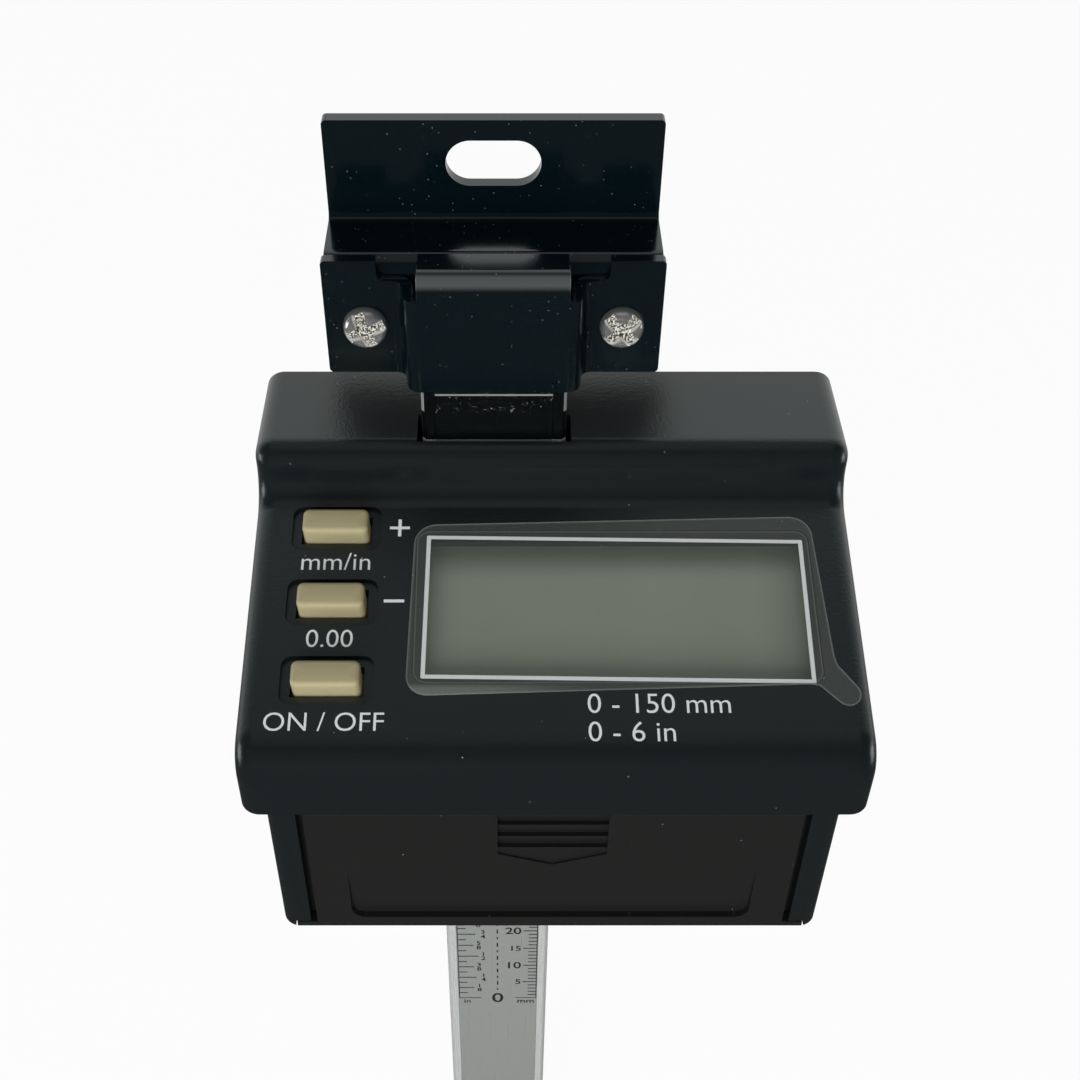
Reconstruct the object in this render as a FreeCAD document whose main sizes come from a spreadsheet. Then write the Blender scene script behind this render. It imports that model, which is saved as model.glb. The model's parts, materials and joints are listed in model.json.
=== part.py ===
import os
import re
import FreeCAD
import Part
import Sketcher

# Digital readout gauge: a sliding readout head on a vertical steel scale, with a clamped
# mounting bracket at the scale's top. Millimetres. X is across the front, Y goes away from
# the viewer and Z is up along the scale. The origin is the middle of the bracket's slot, on
# the flange face that is screwed to a machine.

doc = FreeCAD.newDocument("ReadoutGauge")
sheet = doc.addObject("Spreadsheet::Sheet", "Sizes")

SIZES = {
    # General clearances
    "overcut": 1.0,
    "weld": 0.4,
    "seat_gap": 0.02,
    "slide_gap": 0.2,
    "run_gap": 0.15,
    # Scale
    "scale_width": 15.875,
    "scale_thick": 3.5,
    "scale_length": 216.0,
    "scale_sink": 0.3,
    "scale_bevel": 0.5,
    "film_margin": 1.54,
    "film_thick": 0.2,
    "strip_thick": 0.5,
    # Rear bracket
    "bracket_width": 35.3,
    "bracket_thick": 1.5,
    "bracket_bend": 0.8,
    "flange_top": 4.9,
    "flange_round": 0.5,
    "shelf_drop": 6.4,
    "bracket_step": 10.1,
    "bracket_foot": 19.6,
    "slot_long": 10.0,
    "slot_tall": 5.2,
    # Clamp plate
    "clamp_over": 0.1,
    "clamp_thick": 1.2,
    "clamp_bend": 0.5,
    "clamp_gap": 0.2,
    "ear_rise": 0.8,
    "ear_bend": 1.2,
    "ear_step": 2.4,
    "ear_inset": 2.75,
    "ear_round": 1.0,
    "lip_inset": 0.19,
    "lip_reach": 3.4,
    "notch_width": 2.4,
    "notch_deep": 2.7,
    # Bracket screws
    "clamp_screw_in": 4.15,
    "clamp_screw_up": 6.2,
    "clamp_screw_head": 2.35,
    "clamp_screw_rise": 1.7,
    "clamp_screw_shank": 1.5,
    "clamp_screw_long": 5.0,
    # Head and hood
    "head_x": 6.4,
    "head_top": 26.9,
    "hood_wide": 66.0,
    "hood_deep": 47.7,
    "hood_tall": 22.9,
    "hood_wall": 1.85,
    "top_wall": 2.0,
    "top_round": 2.6,
    "step_wall": 1.7,
    "step_room": 0.2,
    "step_round": 3.0,
    "face_drop": 5.84,
    "face_tilt": 15.4,
    "face_wall": 2.0,
    "front_round": 5.0,
    "side_round": 2.2,
    "rear_bevel": 1.5,
    "scale_gap": 0.6,
    # Window
    "window_left": 18.15,
    "window_right": 4.95,
    "window_top": 5.1,
    "window_low": 9.08,
    "lens_round": 1.4,
    "lens_thick": 1.0,
    "lens_gap": 0.1,
    "lens_sink": 0.1,
    "aperture_lip": 0.8,
    "cling_over": 1.0,
    "cling_thick": 0.12,
    "cling_round": 2.2,
    "tab_reach": 3.2,
    "tab_round": 1.3,
    # Buttons
    "button_side": 9.25,
    "button_top": 4.8,
    "button_low": 9.42,
    "button_wide": 7.2,
    "button_tall": 3.0,
    "button_proud": 2.0,
    "button_edge": 0.6,
    "button_crown": 0.5,
    "button_flange": 0.8,
    "flange_thick": 0.8,
    "button_gap": 0.25,
    "button_travel": 0.7,
    "recess_over": 1.3,
    "recess_deep": 0.5,
    "recess_round": 1.2,
    # Display and main board
    "board_drop": 5.2,
    "board_thick": 1.0,
    "board_side": 2.15,
    "board_start": 3.0,
    "board_front": 0.86,
    "board_screw_in": 2.3,
    "post_half": 1.7,
    "board_screw_shank": 0.75,
    "board_screw_head": 1.6,
    "board_screw_rise": 0.7,
    "board_screw_long": 3.6,
    "display_over": 0.7,
    "display_thick": 1.6,
    "carrier_wall": 1.0,
    "zebra_wide": 1.8,
    "switch_size": 4.5,
    "plunger_half": 1.1,
    "plunger_tall": 0.4,
    # Base
    "base_drop": 24.1,
    "base_wall": 2.0,
    "base_floor": 1.6,
    "base_round": 2.0,
    "upstand": 3.0,
    "pillar_wide": 3.35,
    "pillar_thick": 1.4,
    "case_boss": 6.0,
    "case_boss_tall": 7.5,
    # Battery door
    "door_gap": 0.75,
    "door_thick": 1.6,
    "door_tuck": 1.5,
    "tongue_thick": 1.0,
    "track_play": 0.3,
    "toe_wall": 1.7,
    "toe_tall": 0.8,
    "grip_wide": 12.0,
    "grip_drop": 1.3,
    "grip_sink": 0.25,
    "ridge_first": 2.8,
    "ridge_pitch": 2.05,
    "ridge_deep": 0.5,
    "ridge_land": 0.45,
    "arrow_shoulder": 9.9,
    "arrow_tip": 11.9,
    "thumb_margin": 4.1,
    "thumb_drop": 12.9,
    "thumb_rise": 1.8,
    "thumb_deep": 0.75,
    "thumb_round": 1.6,
    # Battery bay
    "cell_round": 5.1,
    "cell_long": 43.5,
    "nub_round": 1.9,
    "nub_long": 1.0,
    "cell_gap": 0.3,
    "cell_room": 1.75,
    "bay_wall": 1.0,
    "contact_thick": 0.4,
    "contact_wide": 8.0,
    "contact_dip": 2.0,
    "dimple_half": 1.4,
    # Rear cover and mount
    "cover_thick": 2.5,
    "mount_spread": 40.0,
    "mount_drop": 23.5,
    "insert_round": 2.9,
    "insert_bore": 1.65,
    "insert_long": 6.0,
    "insert_wall": 1.6,
    "case_screw_off": 4.0,
    "case_screw_in": 3.2,
    "case_screw_head": 2.2,
    "case_screw_rise": 1.3,
    "case_screw_shank": 1.25,
    "case_screw_long": 6.0,
    # Slide
    "frame_thick": 1.5,
    "frame_side": 2.0,
    "frame_end": 3.5,
    "frame_edge": 2.0,
    "frame_screw_gap": 1.9,
    "frame_screw_in": 4.5,
    "frame_post": 1.9,
    "frame_screw_head": 1.7,
    "frame_screw_rise": 1.1,
    "frame_screw_shank": 0.9,
    "frame_screw_long": 5.0,
    "gib_thick": 1.2,
    "gib_margin": 2.0,
    "spring_thick": 0.25,
    "spring_room": 1.1,
    "spring_margin": 4.0,
    "sensor_in": 4.5,
    "sensor_thick": 1.2,
    "sensor_gap": 0.35,
    "link_half": 8.0,
    "link_tall": 3.0,
}
for row, (word, number) in enumerate(SIZES.items(), 1):
    sheet.set(f"A{row}", word)
    sheet.set(f"B{row}", str(number))
    sheet.setAlias(f"B{row}", word)
doc.recompute()

PARTS = {}


def bound(text):
    # The same formula with each size read from the sheet
    return re.sub("[a-z_]+", lambda w: "Sizes." + w.group() if w.group() in SIZES else w.group(), text)


def value(text):
    return float(sheet.evalExpression(text))


def place(item, x, y, z, axis=(1, 0, 0), angle="0"):
    turn = FreeCAD.Rotation(FreeCAD.Vector(*axis), value(angle))
    item.Placement = FreeCAD.Placement(FreeCAD.Vector(value(x), value(y), value(z)), turn)
    for letter, text in zip("xyz", (x, y, z)):
        item.setExpression("Placement.Base." + letter, bound(text))
    if re.search("[a-z]", angle):
        item.setExpression("Placement.Rotation.Angle", bound(angle))


def keep(item, label):
    item.Label = label
    PARTS[label] = item
    return item


def new_body(label):
    return keep(doc.addObject("PartDesign::Body", label), label)


def sketch(body, role, name, at=("0", "0", "0"), tilt=None):
    plane = [p for p in body.Origin.OriginFeatures if p.Role == role][0]
    drawn = body.newObject("Sketcher::SketchObject", name)
    drawn.AttachmentSupport = [(plane, "")]
    drawn.MapMode = "FlatFace"
    if tilt:
        turn = FreeCAD.Rotation(FreeCAD.Vector(1, 0, 0), value(tilt))
        drawn.AttachmentOffset = FreeCAD.Placement(FreeCAD.Vector(), turn)
        drawn.setExpression("AttachmentOffset.Rotation.Angle", bound(tilt))
    for letter, text in zip("xyz", at):
        drawn.setExpression("AttachmentOffset.Base." + letter, bound(text))
    return drawn


def tie(drawn, kind, geometry, point, text):
    if kind == "Radius":
        rule = Sketcher.Constraint("Radius", geometry, value(text))
    else:
        rule = Sketcher.Constraint(kind, -1, 1, geometry, point, value(text))
    drawn.setExpression(f"Constraints[{drawn.addConstraint(rule)}]", bound(text))


def outline(drawn, corners):
    # A closed outline through the corners. A third entry rounds its corner by that radius.
    spots = [FreeCAD.Vector(value(c[0]), value(c[1]), 0) for c in corners]
    ends = spots[1:] + spots[:1]
    lines = [drawn.addGeometry(Part.LineSegment(a, b), False) for a, b in zip(spots, ends)]
    for line, following in zip(lines, lines[1:] + lines[:1]):
        drawn.addConstraint(Sketcher.Constraint("Coincident", line, 2, following, 1))
    for line, corner in zip(lines, corners):
        tie(drawn, "DistanceX", line, 1, corner[0])
        tie(drawn, "DistanceY", line, 1, corner[1])
    for line, corner in zip(lines, corners):
        if len(corner) == 3:
            drawn.fillet(line, 1, value(corner[2]), True, True)
            tie(drawn, "Radius", drawn.GeometryCount - 2, 0, corner[2])


def box_outline(drawn, left, right, low, high, corner=None):
    spots = [(left, low), (right, low), (right, high), (left, high)]
    outline(drawn, [s + (corner,) if corner else s for s in spots])


def mid_outline(drawn, x, y, wide, tall, corner=None):
    # A rectangle about its own middle
    half_wide = f"({wide}) / 2"
    half_tall = f"({tall}) / 2"
    box_outline(drawn, f"{x} - {half_wide}", f"{x} + {half_wide}",
                f"{y} - {half_tall}", f"{y} + {half_tall}", corner)


def ring(drawn, x, y, radius):
    middle = FreeCAD.Vector(value(x), value(y), 0)
    circle = drawn.addGeometry(Part.Circle(middle, FreeCAD.Vector(0, 0, 1), value(radius)), False)
    tie(drawn, "DistanceX", circle, 3, x)
    tie(drawn, "DistanceY", circle, 3, y)
    tie(drawn, "Radius", circle, 0, radius)


def feature(body, kind, drawn, length, both, back):
    # A pad or a pocket, checked to add to or take from the solid
    before = body.Shape.Volume if body.Tip else 0.0
    made = body.newObject("PartDesign::" + kind, drawn.Name + "_" + kind.lower())
    made.Profile = drawn
    made.setExpression("Length", bound(length))
    if both:
        made.SideType = "Symmetric"
    made.Reversed = back
    drawn.Visibility = False
    doc.recompute()
    gain = made.Shape.Volume - before
    if (gain <= 0) == (kind == "Pad"):
        raise ValueError(f"{drawn.Name} does not change {body.Label}")


def pad(body, drawn, length, both=False):
    feature(body, "Pad", drawn, length, both, False)


def pocket(body, drawn, length, both=False, back=False):
    feature(body, "Pocket", drawn, length, both, back)


def soften(body, name, size, wanted, kind="Fillet"):
    # Round or chamfer the edges that the wanted test picks
    base = body.Tip
    names = [f"Edge{n}" for n, edge in enumerate(base.Shape.Edges, 1) if wanted(edge)]
    if not names:
        raise ValueError("no edges to soften for " + name)
    made = body.newObject("PartDesign::" + kind, name)
    made.Base = (base, names)
    made.setExpression("Radius" if kind == "Fillet" else "Size", bound(size))
    doc.recompute()


def near(a, b):
    return abs(a - b) < 1e-4


def spun(name, steps):
    # A turned piece about Z from its (radius, height) steps
    body = doc.addObject("PartDesign::Body", name)
    half = sketch(body, "XZ_Plane", name + "_half")
    outline(half, [("0", steps[0][1])] + steps + [("0", steps[-1][1])])
    turned = body.newObject("PartDesign::Revolution", name + "_turned")
    turned.Profile = half
    turned.ReferenceAxis = (half, ["V_Axis"])
    turned.Angle = 360
    half.Visibility = False
    doc.recompute()
    return body


def group(label, items):
    joined = doc.addObject("Part::Compound", label)
    joined.Links = items
    return keep(joined, label)


def screw(name, kind):
    # Round head up from Z = 0 and shank down, from the sizes of its kind
    head = kind + "_head"
    shank = kind + "_shank"
    return spun(name, [(shank, f"-{kind}_long"), (shank, "0"), (head, "0"), (head, kind + "_rise")])


def hexagon(drawn, x, y, radius):
    outline(drawn, [(f"{x} + ({radius}) * cos({turn})", f"{y} + ({radius}) * sin({turn})")
                    for turn in range(0, 360, 60)])


def hex_screw(name, kind):
    # The same with a hexagon head, for the screws that nothing shows
    body = spun(name, [(kind + "_shank", f"-{kind}_long"), (kind + "_shank", kind + "_rise")])
    head = sketch(body, "XY_Plane", name + "_head")
    hexagon(head, "0", "0", kind + "_head")
    pad(body, head, kind + "_rise")
    return body


def slab(label, left, right, front, back, low, high):
    # A plain block between six planes
    made = doc.addObject("Part::Box", label)
    for prop, a, b in (("Length", left, right), ("Width", front, back), ("Height", low, high)):
        made.setExpression(prop, bound(f"({b}) - ({a})"))
    place(made, left, front, low)
    return keep(made, label)


def mirrored(corners):
    # The same corners on the other side of X = 0, in the opposite order
    return [(f"-({c[0]})",) + c[1:] for c in reversed(corners)]


# Places shared by pieces that meet. Depths are in front of Y = 0, drops are below Z = 0.
SIDES = ("-", "+")
SCALE_HALF = "(scale_width / 2)"
SCALE_TOP = "(shelf_drop + scale_sink)"
SCALE_FOOT = f"({SCALE_TOP} + scale_length)"
SCALE_FRONT = "(bracket_step + scale_thick)"
STEP_BACK = f"({SCALE_FRONT} + scale_gap + step_wall + step_room)"
HOOD_FOOT = "(head_top + hood_tall)"
HEAD_FOOT = f"({HOOD_FOOT} + base_drop)"
FLOOR_TOP = f"({HEAD_FOOT} - base_floor)"
HOOD_INSIDE = "(hood_wide / 2 - hood_wall)"
BASE_HALF = f"({HOOD_INSIDE} - run_gap)"
BASE_INSIDE = f"({BASE_HALF} - base_wall)"
BASE_DEEP = "(hood_deep - hood_wall - run_gap)"
DOOR_HALF = f"({BASE_HALF} - pillar_wide - door_gap)"
TONGUE_HALF = f"({BASE_INSIDE} - track_play)"
TOE_HALF = f"({BASE_HALF} - toe_wall)"
TONGUE_BACK = f"({BASE_DEEP} - door_thick - tongue_thick)"
TRAY_FRONT = f"({TONGUE_BACK} - slide_gap)"
CELL_MID = f"({TONGUE_BACK} - cell_gap - cell_round)"
LOW_CELL = f"({FLOOR_TOP} - cell_gap - cell_round)"
HIGH_CELL = f"({LOW_CELL} - cell_gap - 2 * cell_round)"
CELL_HALF = "((cell_long + nub_long) / 2)"
BAY_TOP = f"({HIGH_CELL} - cell_gap - cell_round)"
BAY_HALF = f"({CELL_HALF} + cell_room)"
BAY_REAR = f"({CELL_MID} - cell_round - seat_gap)"
FRAME_BACK = "(bracket_step - run_gap - frame_thick)"
FRAME_TOP = "(head_top + top_wall + frame_end)"
FRAME_FOOT = f"({FLOOR_TOP} - frame_end)"
SENSOR_BACK = f"({SCALE_FRONT} + sensor_gap)"
ARM_RUN = f"({SCALE_HALF} + run_gap)"
GIB_RUN = f"({ARM_RUN} + gib_thick)"
SPRING_RUN = f"({GIB_RUN} + spring_room)"
FRAME_SCREW_X = f"({SPRING_RUN} + frame_side + frame_screw_gap)"
CLAMP_SCREW_X = "(bracket_width / 2 - clamp_screw_in)"
CLAMP_SCREW_DROP = "(bracket_foot - clamp_screw_up)"

# Places on the sloped face: X across from the head's middle, Y up the slope from its top end
FACE_AT = ("head_x", f"-{STEP_BACK}", "-(head_top + face_drop)")
FACE_LONG = f"((hood_deep - {STEP_BACK}) / cos(face_tilt))"
LENS_WIDE = "(hood_wide - window_left - window_right)"
LENS_TALL = f"({FACE_LONG} - window_top - window_low)"
WINDOW_X = "(window_left - window_right) / 2"
WINDOW_Y = f"-(window_top + {LENS_TALL} / 2)"
BUTTON_X = "-(hood_wide / 2 - button_side)"
BUTTON_PITCH = f"(({FACE_LONG} - button_top - button_low) / 2)"
BUTTON_ROWS = [f"-(button_top + {row} * {BUTTON_PITCH})" for row in range(3)]
BUTTON_FOOT = "(face_wall + slide_gap + flange_thick)"
DISPLAY_WIDE = f"({LENS_WIDE} + 2 * display_over)"
DISPLAY_TALL = f"({LENS_TALL} + 2 * display_over)"
DISPLAY_FOOT = "(face_wall + slide_gap + display_thick)"
BOARD_HALF = f"({HOOD_INSIDE} - board_side)"
BOARD_END = f"((hood_deep - hood_wall - {STEP_BACK}) / cos(face_tilt) - board_front)"
BOARD_LOW_ROW = f"-({BOARD_END} - board_screw_in)"
BOARD_SCREWS = [(f"{side}({BOARD_HALF} - board_screw_in)", BOARD_LOW_ROW) for side in SIDES]

# Places on the rear cover
CASE_SCREWS_HIGH = [(f"head_x {side} ({HOOD_INSIDE} - case_screw_in)",
                     "-(head_top + top_wall + case_screw_off)") for side in SIDES]
CASE_SCREWS_LOW = [(f"head_x {side} ({BASE_INSIDE} - case_screw_in)",
                    f"-({FLOOR_TOP} - case_screw_off)") for side in SIDES]
CASE_PILOT = "case_screw_rise + run_gap + case_screw_long - cover_thick + weld"
BOSS_LONG = f"{FRAME_BACK} - cover_thick - seat_gap - slide_gap"
FRAME_SCREWS = [(f"-{FRAME_SCREW_X}", f"-({FRAME_TOP} + frame_screw_in)"),
                (FRAME_SCREW_X, f"-({FRAME_FOOT} - frame_screw_in)")]
MOUNTS = [(f"head_x {side} mount_spread / 2", "-(head_top + mount_drop)") for side in SIDES]


def on_face(body):
    # The sloped face's own frame: X across, Y up the slope, Z out of the face
    place(body, *FACE_AT, angle="face_tilt")
    return body


def scale_slot(body, name, drop, length):
    # The way for the scale through a top plate or a floor
    drawn = sketch(body, "XY_Plane", name, at=("0", "0", f"-{drop}"))
    box_outline(drawn, f"-{SCALE_HALF} - scale_gap", f"{SCALE_HALF} + scale_gap",
                f"-{SCALE_FRONT} - scale_gap", "-bracket_step + scale_gap")
    pocket(body, drawn, length, both=True)


# Scale beam with bevelled front edges and a channel for its strip and film
FILM_HALF = f"({SCALE_HALF} - film_margin)"
CHANNEL = f"({SCALE_FRONT} - strip_thick - film_thick)"
beam = new_body("scale_beam")
section = sketch(beam, "XY_Plane", "beam_section", at=("0", "0", f"-{SCALE_FOOT}"))
half_beam = [
    (SCALE_HALF, "-bracket_step"),
    (SCALE_HALF, f"-{SCALE_FRONT} + scale_bevel"),
    (f"{SCALE_HALF} - scale_bevel", f"-{SCALE_FRONT}"),
    (FILM_HALF, f"-{SCALE_FRONT}"),
    (FILM_HALF, f"-{CHANNEL}")]
outline(section, half_beam + mirrored(half_beam))
pad(beam, section, "scale_length")

# Capacitive strip and printed film in the channel
for label, back, front in (
        ("pattern_strip", CHANNEL, f"{CHANNEL} + strip_thick"),
        ("scale_film", f"{CHANNEL} + strip_thick", SCALE_FRONT)):
    slab(label, f"-{FILM_HALF} + seat_gap", f"{FILM_HALF} - seat_gap", f"-({front})",
         f"-({back} + seat_gap)", f"-{SCALE_FOOT} + seat_gap", f"-{SCALE_TOP} - seat_gap")

# Rear bracket: one strip bent twice into a Z
OUTER_BEND = "bracket_bend + bracket_thick"
bracket = new_body("rear_bracket")
strip = sketch(bracket, "YZ_Plane", "bracket_strip")
outline(strip, [
    ("0", "flange_top"),
    ("0", "-shelf_drop - bracket_thick", OUTER_BEND),
    ("-bracket_step + bracket_thick", "-shelf_drop - bracket_thick", "bracket_bend"),
    ("-bracket_step + bracket_thick", "-bracket_foot"),
    ("-bracket_step", "-bracket_foot"),
    ("-bracket_step", "-shelf_drop", OUTER_BEND),
    ("-bracket_thick", "-shelf_drop", "bracket_bend"),
    ("-bracket_thick", "flange_top")])
pad(bracket, strip, "bracket_width", both=True)
slot = sketch(bracket, "XZ_Plane", "bracket_slot")
mid_outline(slot, "0", "0", "slot_long", "slot_tall", "slot_tall / 2 - seat_gap")
pocket(bracket, slot, "2 * (bracket_thick + overcut)", both=True)
taps = sketch(bracket, "XZ_Plane", "bracket_taps", at=("0", "0", "bracket_step"))
for side in SIDES:
    ring(taps, side + CLAMP_SCREW_X, f"-{CLAMP_SCREW_DROP}", "clamp_screw_shank + seat_gap")
pocket(bracket, taps, "2 * (bracket_thick + overcut)", both=True)


def bracket_corner(edge):
    middle = edge.CenterOfMass
    at_side = near(abs(middle.x), value("bracket_width / 2"))
    at_end = near(middle.z, value("flange_top")) or near(middle.z, value("-bracket_foot"))
    return at_side and at_end and near(edge.Length, value("bracket_thick"))


soften(bracket, "bracket_corners", "flange_round", bracket_corner)

# Clamp plate: hat section round the scale, with a lip folded back over the scale's end
EAR_TOP = "(shelf_drop - ear_rise)"
EAR_BACK = "-bracket_step - seat_gap"
EAR_FRONT = f"{EAR_BACK} - clamp_thick"
HUMP_BACK = f"-{SCALE_FRONT} - clamp_gap"
HUMP_FRONT = f"{HUMP_BACK} - clamp_thick"
HUMP_INSIDE = f"({SCALE_HALF} + clamp_gap)"
HUMP_OUTSIDE = f"({HUMP_INSIDE} + clamp_thick)"
CLAMP_HALF = "(bracket_width / 2 + clamp_over)"
CLAMP_OUTER = "clamp_bend + clamp_thick"
LIP_HALF = f"({SCALE_HALF} - lip_inset)"
LIP_UNDER = f"-{SCALE_TOP} + clamp_gap"
LIP_ROOT = f"-{EAR_TOP} - notch_deep"
clamp = new_body("clamp_plate")
hat = sketch(clamp, "XY_Plane", "clamp_hat", at=("0", "0", "-bracket_foot"))
half_hat = [
    (CLAMP_HALF, EAR_BACK),
    (CLAMP_HALF, EAR_FRONT),
    (HUMP_OUTSIDE, EAR_FRONT, "ear_bend"),
    (HUMP_OUTSIDE, HUMP_FRONT, CLAMP_OUTER)]
half_core = [
    (HUMP_INSIDE, HUMP_BACK, "clamp_bend"),
    (HUMP_INSIDE, EAR_BACK, "ear_bend + clamp_thick")]
outline(hat, half_hat + mirrored(half_hat) + mirrored(half_core) + half_core)
pad(clamp, hat, f"bracket_foot - {EAR_TOP}")
trim = sketch(clamp, "XZ_Plane", "hump_trim", at=("0", "0", "bracket_step + clamp_thick + clamp_bend"))
box_outline(trim, f"-{HUMP_OUTSIDE} - ear_inset", f"{HUMP_OUTSIDE} + ear_inset",
            f"-{EAR_TOP} - ear_step", f"-{EAR_TOP} + overcut", "ear_round")
pocket(clamp, trim, "2 * (scale_thick + clamp_thick + overcut)", both=True)
lip = sketch(clamp, "YZ_Plane", "clamp_lip")
outline(lip, [
    (HUMP_FRONT, LIP_ROOT),
    (HUMP_FRONT, f"{LIP_UNDER} + clamp_thick", CLAMP_OUTER),
    (f"{HUMP_BACK} + lip_reach", f"{LIP_UNDER} + clamp_thick"),
    (f"{HUMP_BACK} + lip_reach", LIP_UNDER),
    (HUMP_BACK, LIP_UNDER, "clamp_bend"),
    (HUMP_BACK, LIP_ROOT)])
pad(clamp, lip, f"2 * {LIP_HALF}", both=True)
notches = sketch(clamp, "XZ_Plane", "lip_notches", at=("0", "0", f"{SCALE_FRONT} + clamp_gap"))
for side in SIDES:
    mid_outline(notches, f"{side}({LIP_HALF} + notch_width / 2)",
                f"-{EAR_TOP} - notch_deep / 2 + overcut / 2",
                "notch_width", "notch_deep + overcut", "notch_width / 2 - seat_gap")
pocket(clamp, notches, "2 * (clamp_thick + overcut)", both=True)
holes = sketch(clamp, "XZ_Plane", "clamp_holes", at=("0", "0", "bracket_step"))
for side in SIDES:
    ring(holes, side + CLAMP_SCREW_X, f"-{CLAMP_SCREW_DROP}", "clamp_screw_shank + run_gap")
pocket(clamp, holes, "2 * (clamp_thick + overcut)", both=True)


def clamp_corner(edge):
    at_side = near(abs(edge.CenterOfMass.x), value(CLAMP_HALF))
    return at_side and near(edge.Length, value("clamp_thick"))


soften(clamp, "clamp_corners", "flange_round", clamp_corner)

# Bracket screws, from the front through the ears into the tapped bracket
pair = []
for name, side in zip(("clamp_screw_left", "clamp_screw_right"), SIDES):
    one = screw(name, "clamp_screw")
    place(one, side + CLAMP_SCREW_X, f"{EAR_FRONT} - seat_gap", f"-{CLAMP_SCREW_DROP}", angle="90")
    pair.append(one)
group("bracket_screws", pair)

# Upper case: moulded hood with a stepped top plate, a sloped face and a rolled front
FACE_FRONT = f"-(head_top + face_drop + (hood_deep - {STEP_BACK}) * tan(face_tilt))"
case = new_body("upper_case")
side_view = sketch(case, "YZ_Plane", "hood_side", at=("0", "0", "head_x"))
outline(side_view, [
    ("0", "-head_top"),
    (f"-{STEP_BACK}", "-head_top", "top_round"),
    (f"-{STEP_BACK}", "-head_top - face_drop", "step_round"),
    ("-hood_deep", FACE_FRONT, "front_round"),
    ("-hood_deep", f"-{HOOD_FOOT}"),
    ("0", f"-{HOOD_FOOT}")])
pad(case, side_view, "hood_wide", both=True)


def on_side(edge):
    return all(near(abs(v.X - value("head_x")), value("hood_wide / 2")) for v in edge.Vertexes)


def at_back(edge):
    return all(near(v.Y, 0) for v in edge.Vertexes)


def at_rim(edge):
    return all(near(v.Z, -value(HOOD_FOOT)) for v in edge.Vertexes)


soften(case, "hood_side_edges", "side_round",
       lambda e: len(e.Vertexes) == 2 and on_side(e) and not at_back(e) and not at_rim(e))
soften(case, "hood_rear_edges", "rear_bevel", lambda e: at_back(e) and not at_rim(e), kind="Chamfer")
UNDER_FACE = "-(head_top + face_drop + face_wall / cos(face_tilt))"
INNER_DEEP = "(hood_deep - hood_wall)"
room = sketch(case, "YZ_Plane", "hood_room", at=("0", "0", "head_x"))
outline(room, [
    ("overcut", "-head_top - top_wall"),
    (f"-{STEP_BACK} + step_wall", "-head_top - top_wall"),
    (f"-{STEP_BACK} + step_wall", f"{UNDER_FACE} + step_wall * tan(face_tilt)"),
    (f"-{INNER_DEEP}", f"{UNDER_FACE} - ({INNER_DEEP} - {STEP_BACK}) * tan(face_tilt)", "hood_wall"),
    (f"-{INNER_DEEP}", f"-{HOOD_FOOT} - overcut"),
    ("overcut", f"-{HOOD_FOOT} - overcut")])
pocket(case, room, f"2 * {HOOD_INSIDE}", both=True)
scale_slot(case, "hood_scale_slot", "head_top", "2 * top_wall + overcut")
seat = sketch(case, "XY_Plane", "lens_seat", at=FACE_AT, tilt="face_tilt")
mid_outline(seat, WINDOW_X, WINDOW_Y, f"{LENS_WIDE} + 2 * lens_gap", f"{LENS_TALL} + 2 * lens_gap",
            "lens_round + lens_gap")
pocket(case, seat, "2 * (lens_thick + lens_sink + seat_gap)", both=True)
aperture = sketch(case, "XY_Plane", "lens_aperture", at=FACE_AT, tilt="face_tilt")
mid_outline(aperture, WINDOW_X, WINDOW_Y, f"{LENS_WIDE} - 2 * aperture_lip",
            f"{LENS_TALL} - 2 * aperture_lip")
pocket(case, aperture, "2 * (face_wall + overcut)", both=True)
wells = sketch(case, "XY_Plane", "button_wells", at=FACE_AT, tilt="face_tilt")
gates = sketch(case, "XY_Plane", "button_gates", at=FACE_AT, tilt="face_tilt")
for row in BUTTON_ROWS:
    mid_outline(wells, BUTTON_X, row, "button_wide + 2 * recess_over", "button_tall + 2 * recess_over",
                "recess_round")
    mid_outline(gates, BUTTON_X, row, "button_wide + 2 * button_gap", "button_tall + 2 * button_gap")
pocket(case, wells, "2 * recess_deep", both=True)
pocket(case, gates, "2 * (face_wall + overcut)", both=True)
POST_FOOT = "(board_drop - seat_gap)"
POST_AT = ("head_x", f"-{STEP_BACK} + {POST_FOOT} * sin(face_tilt)",
           f"-(head_top + face_drop + {POST_FOOT} * cos(face_tilt))")
posts = sketch(case, "XY_Plane", "board_posts", at=POST_AT, tilt="face_tilt")
pilots = sketch(case, "XY_Plane", "board_pilots", at=POST_AT, tilt="face_tilt")
for x, y in BOARD_SCREWS:
    mid_outline(posts, x, y, "2 * post_half", "2 * post_half")
    ring(pilots, x, y, "board_screw_shank + seat_gap")
pad(case, posts, f"{POST_FOOT} - face_wall + weld")
pocket(case, pilots, "board_screw_long - board_thick + weld", back=True)
high_bosses = sketch(case, "XZ_Plane", "case_bosses_high", at=("0", "0", "cover_thick + seat_gap"))
for side in SIDES:
    box_outline(high_bosses, f"head_x {side} ({HOOD_INSIDE} - case_boss)",
                f"head_x {side} ({HOOD_INSIDE} + weld)",
                "-head_top - top_wall - case_boss_tall", "-head_top - top_wall + weld")
pad(case, high_bosses, BOSS_LONG)
high_pilots = sketch(case, "XZ_Plane", "case_pilots_high", at=("0", "0", "cover_thick"))
for x, z in CASE_SCREWS_HIGH:
    ring(high_pilots, x, z, "case_screw_shank + seat_gap")
pocket(case, high_pilots, f"2 * ({CASE_PILOT})", both=True)

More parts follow.
